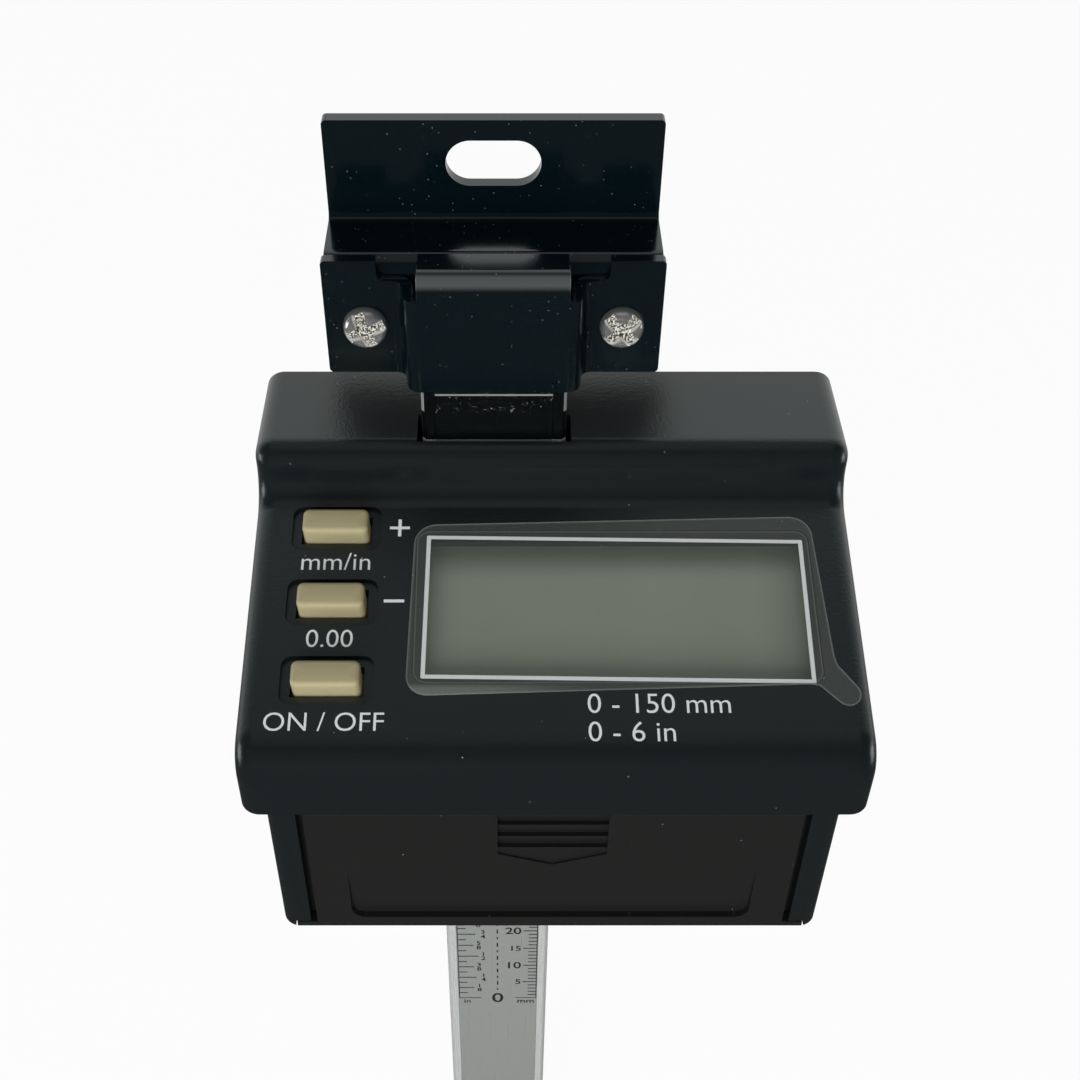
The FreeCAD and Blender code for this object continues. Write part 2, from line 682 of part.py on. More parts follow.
# Window lens in its seat, and the clear peel-off film over it with its pull tab
lens = on_face(new_body("window_lens"))
pane = sketch(lens, "XY_Plane", "lens_pane", at=("0", "0", "-lens_sink - lens_thick"))
mid_outline(pane, WINDOW_X, WINDOW_Y, LENS_WIDE, LENS_TALL, "lens_round")
pad(lens, pane, "lens_thick")
cling = on_face(new_body("window_film"))
cover_sheet = sketch(cling, "XY_Plane", "cling_sheet", at=("0", "0", "seat_gap"))
mid_outline(cover_sheet, WINDOW_X, WINDOW_Y, f"{LENS_WIDE} + 2 * cling_over",
            f"{LENS_TALL} + 2 * cling_over", "cling_round")
pad(cling, cover_sheet, "cling_thick")
TAB_X = f"{WINDOW_X} + {LENS_WIDE} / 2 + cling_over - cling_round"
TAB_Y = f"{WINDOW_Y} - {LENS_TALL} / 2 - cling_over + cling_round"
tab = sketch(cling, "XY_Plane", "cling_tab", at=("0", "0", "seat_gap"))
outline(tab, [
    (f"{TAB_X} - tab_round", f"{TAB_Y} - tab_round"),
    (f"{TAB_X} + tab_reach - tab_round", f"{TAB_Y} - tab_reach - tab_round", "tab_round"),
    (f"{TAB_X} + tab_reach + tab_round", f"{TAB_Y} - tab_reach + tab_round", "tab_round"),
    (f"{TAB_X} + tab_round", f"{TAB_Y} + tab_round")])
pad(cling, tab, "cling_thick")

# Buttons: a cap with bevelled corners and crown, and a retaining flange under the face
for label, row in zip(("button_units", "button_zero", "button_power"), BUTTON_ROWS):
    button = on_face(new_body(label))
    cap = sketch(button, "XY_Plane", label + "_cap", at=("0", "0", f"-{BUTTON_FOOT}"))
    mid_outline(cap, BUTTON_X, row, "button_wide", "button_tall")
    pad(button, cap, f"{BUTTON_FOOT} + button_proud")
    soften(button, label + "_corners", "button_edge",
           lambda e: not near(e.Vertexes[0].Z, e.Vertexes[1].Z), kind="Chamfer")
    soften(button, label + "_crown", "button_crown",
           lambda e: all(near(v.Z, value("button_proud")) for v in e.Vertexes), kind="Chamfer")
    rim = sketch(button, "XY_Plane", label + "_rim", at=("0", "0", f"-{BUTTON_FOOT}"))
    mid_outline(rim, BUTTON_X, row, "button_wide + 2 * button_flange", "button_tall + 2 * button_flange")
    pad(button, rim, "flange_thick")

# Main board under the face with its screws
board = on_face(new_body("main_board"))
panel = sketch(board, "XY_Plane", "board_panel", at=("0", "0", "-board_drop - board_thick"))
box_outline(panel, f"-{BOARD_HALF}", BOARD_HALF, f"-{BOARD_END}", "-board_start")
for x, y in BOARD_SCREWS:
    ring(panel, x, y, "board_screw_shank + run_gap")
pad(board, panel, "board_thick")
BOARD_UNDER = "(board_drop + board_thick + seat_gap)"
fixings = []
for number, (x, y) in enumerate(BOARD_SCREWS):
    one = hex_screw(f"board_screw_{number}", "board_screw")
    place(one, f"head_x {x}",
          f"-{STEP_BACK} + ({y}) * cos(face_tilt) + {BOARD_UNDER} * sin(face_tilt)",
          f"-head_top - face_drop + ({y}) * sin(face_tilt) - {BOARD_UNDER} * cos(face_tilt)",
          angle="180 + face_tilt")
    fixings.append(one)
group("board_screws", fixings)

# Display glass in its carrier, with rubber contact strips down to the board
glass = on_face(new_body("lcd_panel"))
plate = sketch(glass, "XY_Plane", "lcd_glass", at=("0", "0", f"-{DISPLAY_FOOT}"))
mid_outline(plate, WINDOW_X, WINDOW_Y, DISPLAY_WIDE, DISPLAY_TALL)
pad(glass, plate, "display_thick")
carrier = on_face(new_body("lcd_carrier"))
frame = sketch(carrier, "XY_Plane", "carrier_frame", at=("0", "0", "-board_drop + seat_gap"))
mid_outline(frame, WINDOW_X, WINDOW_Y, f"{DISPLAY_WIDE} + 2 * (run_gap + carrier_wall)",
            f"{DISPLAY_TALL} + 2 * (run_gap + carrier_wall)")
mid_outline(frame, WINDOW_X, WINDOW_Y, f"{DISPLAY_WIDE} + 2 * run_gap", f"{DISPLAY_TALL} + 2 * run_gap")
pad(carrier, frame, "board_drop - face_wall - 2 * seat_gap")
zebras = []
for name, side in (("zebra_high", "+"), ("zebra_low", "-")):
    rubber = on_face(doc.addObject("PartDesign::Body", name))
    bar = sketch(rubber, "XY_Plane", name + "_bar", at=("0", "0", "-board_drop + seat_gap"))
    mid_outline(bar, WINDOW_X, f"{WINDOW_Y} {side} ({DISPLAY_TALL} - zebra_wide) / 2",
                f"{DISPLAY_WIDE} - zebra_wide", "zebra_wide")
    pad(rubber, bar, f"board_drop - {DISPLAY_FOOT} - 2 * seat_gap")
    zebras.append(rubber)
group("zebra_strips", zebras)

# Tact switches, with their plungers just under the pressed buttons
PLUNGER_TOP = f"board_drop - {BUTTON_FOOT} - button_travel - slide_gap"
tacts = []
for number, row in enumerate(BUTTON_ROWS):
    tact = on_face(doc.addObject("PartDesign::Body", f"switch_{number}"))
    can = sketch(tact, "XY_Plane", f"switch_can_{number}", at=("0", "0", "-board_drop + seat_gap"))
    mid_outline(can, BUTTON_X, row, "switch_size", "switch_size")
    pad(tact, can, f"{PLUNGER_TOP} - plunger_tall")
    pin = sketch(tact, "XY_Plane", f"switch_pin_{number}", at=("0", "0", "-board_drop + seat_gap"))
    mid_outline(pin, BUTTON_X, row, "2 * plunger_half", "2 * plunger_half")
    pad(tact, pin, PLUNGER_TOP)
    tacts.append(tact)
group("tact_switches", tacts)

# Lower case: base with door pillars, battery bay and a slot for the scale
base = new_body("lower_case")
plan = sketch(base, "XY_Plane", "base_plan", at=("0", "0", f"-{HEAD_FOOT}"))
outline(plan, [
    (f"head_x - {BASE_HALF}", "0"),
    (f"head_x - {BASE_HALF}", f"-{BASE_DEEP}", "base_round"),
    (f"head_x + {BASE_HALF}", f"-{BASE_DEEP}", "base_round"),
    (f"head_x + {BASE_HALF}", "0")])
pad(base, plan, "base_drop + upstand")
hollow = sketch(base, "XY_Plane", "base_hollow", at=("0", "0", f"-{FLOOR_TOP}"))
box_outline(hollow, f"head_x - {BASE_INSIDE}", f"head_x + {BASE_INSIDE}",
            f"-{BASE_DEEP} + pillar_thick", "overcut")
pocket(base, hollow, "base_drop + upstand", back=True)
DOORWAY = f"({DOOR_HALF} + door_gap)"
doorway = sketch(base, "XY_Plane", "base_doorway", at=("0", "0", f"-{HEAD_FOOT} - overcut"))
box_outline(doorway, f"head_x - {DOORWAY}", f"head_x + {DOORWAY}",
            f"-{BASE_DEEP} - overcut", f"-{TRAY_FRONT}")
pocket(base, doorway, "base_drop + upstand + 2 * overcut", back=True)
track = sketch(base, "XY_Plane", "base_track", at=("0", "0", f"-{HEAD_FOOT}"))
box_outline(track, f"head_x - {BASE_INSIDE}", f"head_x + {BASE_INSIDE}",
            f"-{BASE_DEEP} + pillar_thick", f"-{TRAY_FRONT}")
pocket(base, track, "2 * (base_floor + overcut)", both=True)
heel = sketch(base, "XY_Plane", "base_heel", at=("0", "0", f"-{HEAD_FOOT}"))
box_outline(heel, f"head_x - {TOE_HALF} - slide_gap", f"head_x + {TOE_HALF} + slide_gap",
            f"-{BASE_DEEP} - overcut", f"-{TRAY_FRONT}")
pocket(base, heel, "2 * (toe_tall + slide_gap)", both=True)
bay = sketch(base, "XY_Plane", "bay_walls", at=("0", "0", f"-{FLOOR_TOP} - weld"))
BAY_BACK = f"-{BAY_REAR} + bay_wall"
half_bay = [
    (f"{BASE_INSIDE} + weld", BAY_BACK),
    (f"{BASE_INSIDE} + weld", f"-{BAY_REAR}"),
    (f"{BAY_HALF} + bay_wall", f"-{BAY_REAR}"),
    (f"{BAY_HALF} + bay_wall", f"-{TRAY_FRONT}"),
    (BAY_HALF, f"-{TRAY_FRONT}"),
    (BAY_HALF, f"-{BAY_REAR}")]
outline(bay, [(f"head_x + {x}", y) for x, y in half_bay]
        + [(f"head_x - ({x})", y) for x, y in reversed(half_bay)])
pad(base, bay, f"{FLOOR_TOP} + weld - {BAY_TOP}")
roof = sketch(base, "XY_Plane", "bay_roof", at=("0", "0", f"-{BAY_TOP}"))
box_outline(roof, f"head_x - {BASE_INSIDE} - weld", f"head_x + {BASE_INSIDE} + weld",
            f"-{TRAY_FRONT}", BAY_BACK)
pad(base, roof, "bay_wall")
scale_slot(base, "base_scale_slot", HEAD_FOOT, "2 * base_floor + overcut")
low_bosses = sketch(base, "XZ_Plane", "case_bosses_low", at=("0", "0", "cover_thick + seat_gap"))
for side in SIDES:
    box_outline(low_bosses, f"head_x {side} ({BASE_INSIDE} - case_boss)",
                f"head_x {side} ({BASE_INSIDE} + weld)",
                f"-{FLOOR_TOP} - weld", f"-{FLOOR_TOP} + case_boss_tall")
pad(base, low_bosses, BOSS_LONG)
low_pilots = sketch(base, "XZ_Plane", "case_pilots_low", at=("0", "0", "cover_thick"))
for x, z in CASE_SCREWS_LOW:
    ring(low_pilots, x, z, "case_screw_shank + seat_gap")
pocket(base, low_pilots, f"2 * ({CASE_PILOT})", both=True)

# Battery door: a leaf with tongues that slides down out of the base
DOOR_TOP = f"-{HOOD_FOOT} + door_tuck"
TOE_TOP = f"-{HEAD_FOOT} + toe_tall"
door = new_body("battery_door")
leaf = sketch(door, "XZ_Plane", "door_leaf", at=("0", "0", f"{BASE_DEEP} - door_thick"))
half_leaf = [
    (TOE_HALF, f"-{HEAD_FOOT}"),
    (TOE_HALF, TOE_TOP),
    (DOOR_HALF, TOE_TOP),
    (DOOR_HALF, DOOR_TOP)]
half_tongue = half_leaf[:2] + [(TONGUE_HALF, TOE_TOP), (TONGUE_HALF, DOOR_TOP)]
outline(leaf, [(f"head_x + {x}", z) for x, z in half_leaf]
        + [(f"head_x - {x}", z) for x, z in reversed(half_leaf)])
pad(door, leaf, "door_thick")
tongue = sketch(door, "XZ_Plane", "door_tongue", at=("0", "0", TONGUE_BACK))
outline(tongue, [(f"head_x + {x}", z) for x, z in half_tongue]
        + [(f"head_x - {x}", z) for x, z in reversed(half_tongue)])
pad(door, tongue, "tongue_thick")

# The door's sunk grip with its ridges and arrow point, and the thumb recess below
grip = sketch(door, "XZ_Plane", "door_grip", at=("0", "0", BASE_DEEP))
outline(grip, [
    ("head_x - grip_wide / 2", f"-{HOOD_FOOT} - grip_drop"),
    ("head_x - grip_wide / 2", f"-{HOOD_FOOT} - arrow_shoulder"),
    ("head_x", f"-{HOOD_FOOT} - arrow_tip"),
    ("head_x + grip_wide / 2", f"-{HOOD_FOOT} - arrow_shoulder"),
    ("head_x + grip_wide / 2", f"-{HOOD_FOOT} - grip_drop")])
pocket(door, grip, "2 * grip_sink", both=True)
ridges = sketch(door, "YZ_Plane", "grip_ridges", at=("0", "0", "head_x"))
for row in range(4):
    ledge = f"-{HOOD_FOOT} - ridge_first - {row} * ridge_pitch"
    outline(ridges, [
        (f"-{BASE_DEEP} + grip_sink", f"{ledge} + ridge_pitch - ridge_land"),
        (f"-{BASE_DEEP} + grip_sink", ledge),
        (f"-{BASE_DEEP} + grip_sink + ridge_deep", ledge)])
pocket(door, ridges, "grip_wide", both=True)
THUMB_HALF = f"({DOOR_HALF} - thumb_margin)"
THUMB_FOOT = f"-{HEAD_FOOT} + thumb_rise"
thumb = sketch(door, "YZ_Plane", "thumb_wedge", at=("0", "0", "head_x"))
outline(thumb, [
    (f"-{BASE_DEEP}", f"-{HOOD_FOOT} - thumb_drop"),
    (f"-{BASE_DEEP}", THUMB_FOOT),
    (f"-{BASE_DEEP} + thumb_deep", THUMB_FOOT)])
pocket(door, thumb, f"2 * {THUMB_HALF}", both=True)


def thumb_corner(edge):
    middle = edge.CenterOfMass
    at_end = near(abs(middle.x - value("head_x")), value(THUMB_HALF))
    return at_end and all(near(v.Z, value(THUMB_FOOT)) for v in edge.Vertexes)


soften(door, "thumb_corners", "thumb_round", thumb_corner)

# Two cells lying across the base, with a leaf spring and a dimpled plate at their ends
SPRING_WALL = "-cell_room + seat_gap"
cells = []
leaves = []
plates = []
for name, height, side, other in (("cell_high", HIGH_CELL, "-", "+"), ("cell_low", LOW_CELL, "+", "-")):
    middle = (f"-{CELL_MID}", f"-{height}")
    cell = spun(name, [
        ("cell_round", f"-{CELL_HALF}"),
        ("cell_round", f"{CELL_HALF} - nub_long"),
        ("nub_round", f"{CELL_HALF} - nub_long"),
        ("nub_round", CELL_HALF)])
    place(cell, "head_x", *middle, axis=(0, 1, 0), angle=other + "90")
    cells.append(cell)
    spring = doc.addObject("PartDesign::Body", name + "_spring")
    bent = sketch(spring, "XZ_Plane", name + "_spring_bend")
    outline(bent, [
        (SPRING_WALL, "-contact_wide / 2"),
        (f"{SPRING_WALL} + contact_thick", "-contact_wide / 2"),
        (f"{SPRING_WALL} + contact_thick", "contact_wide / 2 - 2 * contact_thick"),
        ("-seat_gap - contact_thick", "-contact_dip"),
        ("-seat_gap", "-contact_dip"),
        (f"{SPRING_WALL} + contact_thick", "contact_wide / 2"),
        (SPRING_WALL, "contact_wide / 2")])
    pad(spring, bent, "contact_wide / 2", both=True)
    place(spring, f"head_x {side} {CELL_HALF}", *middle, axis=(0, 0, 1), angle="0" if side == "-" else "180")
    leaves.append(spring)
    stamped = doc.addObject("PartDesign::Body", name + "_plate")
    blank = sketch(stamped, "XY_Plane", name + "_blank", at=("0", "0", SPRING_WALL))
    mid_outline(blank, "0", "0", "contact_wide", "contact_wide")
    pad(stamped, blank, "contact_thick")
    dimple = sketch(stamped, "XY_Plane", name + "_dimple", at=("0", "0", SPRING_WALL))
    mid_outline(dimple, "0", "0", "2 * dimple_half", "2 * dimple_half")
    pad(stamped, dimple, "cell_room - 2 * seat_gap")
    place(stamped, f"head_x {other} {CELL_HALF}", *middle, axis=(0, 1, 0), angle=side + "90")
    plates.append(stamped)
group("battery_cells", cells)
group("contact_springs", leaves)
group("contact_plates", plates)

# Rear cover with posts for the slide frame and sockets for the mounting inserts
COVER_WIDE = f"({HOOD_INSIDE} - run_gap)"
COVER_NARROW = f"({BASE_INSIDE} - run_gap)"
COVER_WAIST = f"-{HOOD_FOOT} + upstand + run_gap"
cover = new_body("rear_cover")
shield = sketch(cover, "XZ_Plane", "cover_plate")
half_cover = [
    (COVER_NARROW, f"-{FLOOR_TOP} + run_gap"),
    (COVER_NARROW, COVER_WAIST),
    (COVER_WIDE, COVER_WAIST),
    (COVER_WIDE, "-head_top - top_wall - run_gap")]
outline(shield, [(f"head_x + {x}", z) for x, z in half_cover]
        + [(f"head_x - {x}", z) for x, z in reversed(half_cover)])
pad(cover, shield, "cover_thick")
stands = sketch(cover, "XZ_Plane", "cover_posts", at=("0", "0", "cover_thick - weld"))
for x, z in FRAME_SCREWS:
    mid_outline(stands, x, z, "2 * frame_post", "2 * frame_post")
pad(cover, stands, f"{FRAME_BACK} - cover_thick + weld - seat_gap")
collars = sketch(cover, "XZ_Plane", "insert_collars", at=("0", "0", "cover_thick - weld"))
sockets = sketch(cover, "XZ_Plane", "insert_sockets")
for x, z in MOUNTS:
    mid_outline(collars, x, z, "2 * (insert_round + insert_wall)", "2 * (insert_round + insert_wall)")
    hexagon(sockets, x, z, "insert_round + seat_gap")
pad(cover, collars, "insert_long - cover_thick + weld")
pocket(cover, sockets, "2 * (insert_long + overcut)", both=True)
screw_ways = sketch(cover, "XZ_Plane", "cover_screw_ways")
screw_seats = sketch(cover, "XZ_Plane", "cover_screw_seats")
for x, z in CASE_SCREWS_HIGH + CASE_SCREWS_LOW:
    ring(screw_ways, x, z, "case_screw_shank + run_gap")
    ring(screw_seats, x, z, "case_screw_head + run_gap")
pocket(cover, screw_ways, "2 * (cover_thick + overcut)", both=True)
pocket(cover, screw_seats, "2 * (case_screw_rise + run_gap)", both=True)
post_pilots = sketch(cover, "XZ_Plane", "post_pilots", at=("0", "0", FRAME_BACK))
for x, z in FRAME_SCREWS:
    ring(post_pilots, x, z, "frame_screw_shank + seat_gap")
pocket(cover, post_pilots, "2 * frame_screw_long", both=True)

# Hexagonal brass inserts, case screws and slide screws
inserts = []
for number, (x, z) in enumerate(MOUNTS):
    bush = doc.addObject("PartDesign::Body", f"insert_{number}")
    bar = sketch(bush, "XY_Plane", f"insert_bar_{number}")
    hexagon(bar, "0", "0", "insert_round")
    ring(bar, "0", "0", "insert_bore")
    pad(bush, bar, "insert_long - seat_gap")
    place(bush, x, "-seat_gap", z, angle="90")
    inserts.append(bush)
group("mount_inserts", inserts)
backs = []
for number, (x, z) in enumerate(CASE_SCREWS_HIGH + CASE_SCREWS_LOW):
    one = screw(f"case_screw_{number}", "case_screw")
    place(one, x, "-case_screw_rise - run_gap + seat_gap", z, angle="-90")
    backs.append(one)
group("case_screws", backs)
slides = []
for number, (x, z) in enumerate(FRAME_SCREWS):
    one = hex_screw(f"frame_screw_{number}", "frame_screw")
    place(one, x, "-bracket_step + run_gap - seat_gap", z, angle="90")
    slides.append(one)
group("slide_screws", slides)

# Slide frame round the scale's back and sides
PLATE_BACK = f"-{FRAME_BACK}"
PLATE_FRONT = "-bracket_step + run_gap"
PLATE_HALF = f"({FRAME_SCREW_X} + frame_edge)"
ARM_FRONT = f"-{SENSOR_BACK} + seat_gap"
slider = new_body("slide_frame")
channel = sketch(slider, "XY_Plane", "slide_section", at=("0", "0", f"-{FRAME_FOOT}"))
outline(channel, [
    (f"-{PLATE_HALF}", PLATE_BACK),
    (PLATE_HALF, PLATE_BACK),
    (PLATE_HALF, PLATE_FRONT),
    (f"{SPRING_RUN} + frame_side", PLATE_FRONT),
    (f"{SPRING_RUN} + frame_side", ARM_FRONT),
    (SPRING_RUN, ARM_FRONT),
    (SPRING_RUN, PLATE_FRONT),
    (f"-{ARM_RUN}", PLATE_FRONT),
    (f"-{ARM_RUN}", ARM_FRONT),
    (f"-{ARM_RUN} - frame_side", ARM_FRONT),
    (f"-{ARM_RUN} - frame_side", PLATE_FRONT),
    (f"-{PLATE_HALF}", PLATE_FRONT)])
pad(slider, channel, f"{FRAME_FOOT} - {FRAME_TOP}")
ways = sketch(slider, "XZ_Plane", "slide_ways", at=("0", "0", FRAME_BACK))
for x, z in FRAME_SCREWS:
    ring(ways, x, z, "frame_screw_shank + run_gap")
pocket(slider, ways, "2 * (frame_thick + overcut)", both=True)

# Brass gib and the bowed leaf spring that presses it on the scale
slab("gib_strip", ARM_RUN, GIB_RUN, f"-{SCALE_FRONT}", "-bracket_step",
     f"-{FRAME_FOOT} + gib_margin", f"-{FRAME_TOP} - gib_margin")
SPRING_MID = f"-({FRAME_TOP} + {FRAME_FOOT}) / 2"
SPRING_HALF = f"(({FRAME_FOOT} - {FRAME_TOP}) / 2 - spring_margin)"
SPRING_IN = f"{GIB_RUN} + seat_gap"
SPRING_OUT = f"{SPRING_RUN} - seat_gap"
bow = new_body("gib_spring")
arch = sketch(bow, "XZ_Plane", "spring_arch", at=("0", "0", "bracket_step + scale_thick / 2"))
outline(arch, [
    (SPRING_OUT, f"{SPRING_MID} + {SPRING_HALF}"),
    (f"{SPRING_OUT} - spring_thick", f"{SPRING_MID} + {SPRING_HALF}"),
    (SPRING_IN, f"{SPRING_MID} + spring_margin"),
    (SPRING_IN, f"{SPRING_MID} - spring_margin"),
    (f"{SPRING_OUT} - spring_thick", f"{SPRING_MID} - {SPRING_HALF}"),
    (SPRING_OUT, f"{SPRING_MID} - {SPRING_HALF}"),
    (f"{SPRING_IN} + spring_thick", f"{SPRING_MID} - spring_margin + spring_thick"),
    (f"{SPRING_IN} + spring_thick", f"{SPRING_MID} + spring_margin - spring_thick")])
pad(bow, arch, "scale_thick - 2 * run_gap", both=True)

# Sensor board in front of the scale and the connector to the main board's edge
slab("sensor_board", f"-{ARM_RUN} - frame_side", f"{SPRING_RUN} + frame_side",
     f"-{SENSOR_BACK} - sensor_thick", f"-{SENSOR_BACK}",
     f"-{FRAME_FOOT} + sensor_in", f"-{FRAME_TOP} - sensor_in")
LINK_BACK = f"({SENSOR_BACK} + sensor_thick + seat_gap)"
LINK_FRONT = (f"({STEP_BACK} + board_start * cos(face_tilt)"
              " - (board_drop + board_thick) * sin(face_tilt) - slide_gap)")
LINK_MID = ("(head_top + face_drop + board_start * sin(face_tilt)"
            " + (board_drop + board_thick / 2) * cos(face_tilt))")
slab("board_connector", "-link_half", "link_half", f"-{LINK_FRONT}", f"-{LINK_BACK}",
     f"-{LINK_MID} - link_tall / 2", f"-{LINK_MID} + link_tall / 2")

doc.recompute()
for item in doc.Objects:
    if "Invalid" in item.State or "Error" in item.State:
        raise RuntimeError(f"{item.Name} failed: {item.State}")
for label, item in PARTS.items():
    shape = item.Shape
    if shape.isNull() or not shape.isValid() or not shape.Solids:
        raise RuntimeError(f"{label} has no valid solid")
os.makedirs("parts", exist_ok=True)
for label, item in PARTS.items():
    item.Shape.exportStep(os.path.join("parts", label + ".step"))
print(f"{len(PARTS)} nodes written")
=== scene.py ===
import json
import math
import bmesh
import bpy
import numpy as np
from mathutils import Matrix, Vector


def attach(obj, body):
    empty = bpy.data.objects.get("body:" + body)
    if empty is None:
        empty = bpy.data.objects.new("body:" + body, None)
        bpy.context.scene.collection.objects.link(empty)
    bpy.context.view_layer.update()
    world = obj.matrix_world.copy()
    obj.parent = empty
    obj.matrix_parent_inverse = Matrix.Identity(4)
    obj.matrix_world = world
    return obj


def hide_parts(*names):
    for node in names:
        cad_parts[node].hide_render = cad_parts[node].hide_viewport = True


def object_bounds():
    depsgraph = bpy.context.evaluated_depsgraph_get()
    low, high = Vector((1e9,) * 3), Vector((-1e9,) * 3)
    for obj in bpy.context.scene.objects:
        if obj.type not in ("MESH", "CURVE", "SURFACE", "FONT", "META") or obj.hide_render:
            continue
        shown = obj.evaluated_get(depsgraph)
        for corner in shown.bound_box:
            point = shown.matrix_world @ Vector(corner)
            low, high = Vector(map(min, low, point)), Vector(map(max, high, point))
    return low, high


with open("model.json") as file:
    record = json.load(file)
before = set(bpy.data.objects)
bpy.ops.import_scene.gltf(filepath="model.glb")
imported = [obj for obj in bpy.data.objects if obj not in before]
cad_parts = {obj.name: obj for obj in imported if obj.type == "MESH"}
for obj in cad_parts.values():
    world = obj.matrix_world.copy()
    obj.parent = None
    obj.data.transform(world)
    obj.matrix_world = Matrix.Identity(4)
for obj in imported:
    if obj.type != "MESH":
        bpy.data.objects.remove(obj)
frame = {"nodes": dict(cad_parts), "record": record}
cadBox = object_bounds()
nodes = frame["nodes"]
mm = 0.001  # the dictionaries hold millimetres, apart from the lamps, the floor and the depths of grain
print("frame loaded,", len(nodes), "nodes")

# the sloped face: x across from the head's middle, u down the slope, n out of it
face = {"x": 6.4, "y": -16.1, "z": -32.74, "tilt": math.radians(15.4)}


def onFace(x, u, n):
    # a rotation by the tilt about X, then the shift to the face's top end
    c, s = math.cos(face["tilt"]), math.sin(face["tilt"])
    x, u, n = np.broadcast_arrays(np.asarray(x, float), u, n)
    return np.stack([face["x"] + x, face["y"] - u * c - n * s, face["z"] - u * s + n * c], -1) * mm


def faceMatrix(x, u, n):
    # the same frame as a matrix, in metres, for flat text meshes
    spot = Vector(onFace(x, u, n).tolist())
    return Matrix.Translation(spot) @ Matrix.Rotation(face["tilt"], 4, "X")


# mesh helpers

def meshObject(name, points, faces, smooth=True):
    # points of any grid shape as one list, with their faces, as an object at the origin
    mesh = bpy.data.meshes.new(name)
    mesh.from_pydata(np.asarray(points, float).reshape(-1, 3).tolist(), [], [list(f) for f in faces])
    mesh.validate()
    mesh.polygons.foreach_set("use_smooth", np.full(len(mesh.polygons), smooth))
    piece = bpy.data.objects.new(name, mesh)
    bpy.context.scene.collection.objects.link(piece)
    return piece


def gridFaces(rows, cols, start=0):
    # quads between neighbouring rows of a point grid that goes round in the column direction
    r = np.arange(rows - 1)[:, None] * cols + start
    c = np.arange(cols)[None, :]
    d = (c + 1) % cols
    quads = np.stack(np.broadcast_arrays(r + c, r + d, r + cols + d, r + cols + c), -1)
    return quads.reshape(-1, 4).tolist()


def tubeFaces(rows, cols, start=0):
    # the same quads, with the first and last ring closed by a flat cap
    faces = gridFaces(rows, cols, start)
    faces.append([start + i for i in range(cols - 1, -1, -1)])
    faces.append([start + (rows - 1) * cols + i for i in range(cols)])
    return faces


def loft(name, rings):
    # rings of equal length joined into a closed solid
    rings = np.asarray(rings, float)
    return meshObject(name, rings, tubeFaces(*rings.shape[:2]))


def roundRect(wide, tall, radius, arc=8):
    # four quarter circles on the corners of a smaller rectangle, counter-clockwise
    t = np.linspace(0, math.pi / 2, arc)
    corners = []
    for k, (sx, sy) in enumerate(((1, 1), (-1, 1), (-1, -1), (1, -1))):
        a = t + k * math.pi / 2
        corners.append(np.stack([sx * (wide / 2 - radius) + radius * np.cos(a),
                                 sy * (tall / 2 - radius) + radius * np.sin(a)], -1))
    return np.concatenate(corners)


def dress(piece, material, body):
    # one material, and the body that carries the piece
    piece.data.materials.clear()
    piece.data.materials.append(material)
    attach(piece, body)
    return piece


# shader helpers

def feed(tree, source, socket):
    # a socket is linked, a colour gets its fourth value, and a number is set as it is
    if isinstance(source, bpy.types.NodeSocket):
        tree.links.new(source, socket)
    elif isinstance(source, tuple):
        socket.default_value = (*source, 1)
    else:
        socket.default_value = source


def node(tree, kind, **values):
    # a new node, where names with a leading underscore are its properties and the others its inputs
    made = tree.nodes.new(kind)
    for key, value in values.items():
        if key.startswith("_"):
            setattr(made, key[1:], value)
        else:
            made.inputs[key].default_value = value
    return made


def calc(tree, operation, *terms):
    # one Math node on sockets or plain numbers
    made = node(tree, "ShaderNodeMath", _operation=operation)
    for socket, term in zip(made.inputs, terms):
        feed(tree, term, socket)
    return made.outputs[0]


def ramp(tree, value, fromLow, fromHigh, toLow=0.0, toHigh=1.0, kind="SMOOTHSTEP"):
    # one range mapped to another and kept inside it, smooth at both ends or LINEAR
    made = node(tree, "ShaderNodeMapRange", _interpolation_type=kind)
    levels = {"Value": value, "From Min": fromLow, "From Max": fromHigh, "To Min": toLow, "To Max": toHigh}
    for key, level in levels.items():
        feed(tree, level, made.inputs[key])
    return made.outputs[0]


mixSockets = {"RGBA": (6, 7, 2), "FLOAT": (2, 3, 0)}  # where a Mix node has its two inputs and its output


def mixed(tree, factor, first, second, kind="RGBA"):
    # first where the factor is zero and second where it is one
    made = node(tree, "ShaderNodeMix", _data_type=kind)
    a, b, result = mixSockets[kind]
    feed(tree, factor, made.inputs["Factor"])
    feed(tree, first, made.inputs[a])
    feed(tree, second, made.inputs[b])
    return made.outputs[result]


def mixedShader(tree, factor, first, second):
    # the same for two shader nodes
    made = node(tree, "ShaderNodeMixShader")
    for socket, source in zip(made.inputs, (factor, first.outputs[0], second.outputs[0])):
        feed(tree, source, socket)
    return made


def objectPlace(tree):
    # the point's own place on the piece
    return node(tree, "ShaderNodeTexCoord").outputs["Object"]


def axes(tree, place):
    # a place split into X, Y and Z
    split = node(tree, "ShaderNodeSeparateXYZ")
    feed(tree, place, split.inputs[0])
    return split.outputs


def noise(tree, place, scale, **values):
    # the grey value of a noise texture at a place
    made = node(tree, "ShaderNodeTexNoise", **values)
    feed(tree, place, made.inputs["Vector"])
    feed(tree, scale, made.inputs["Scale"])
    return made.outputs["Fac"]


def stretched(tree, place, scale):
    # a place with each of its axes multiplied
    made = node(tree, "ShaderNodeMapping", Scale=scale)
    feed(tree, place, made.inputs["Vector"])
    return made.outputs[0]


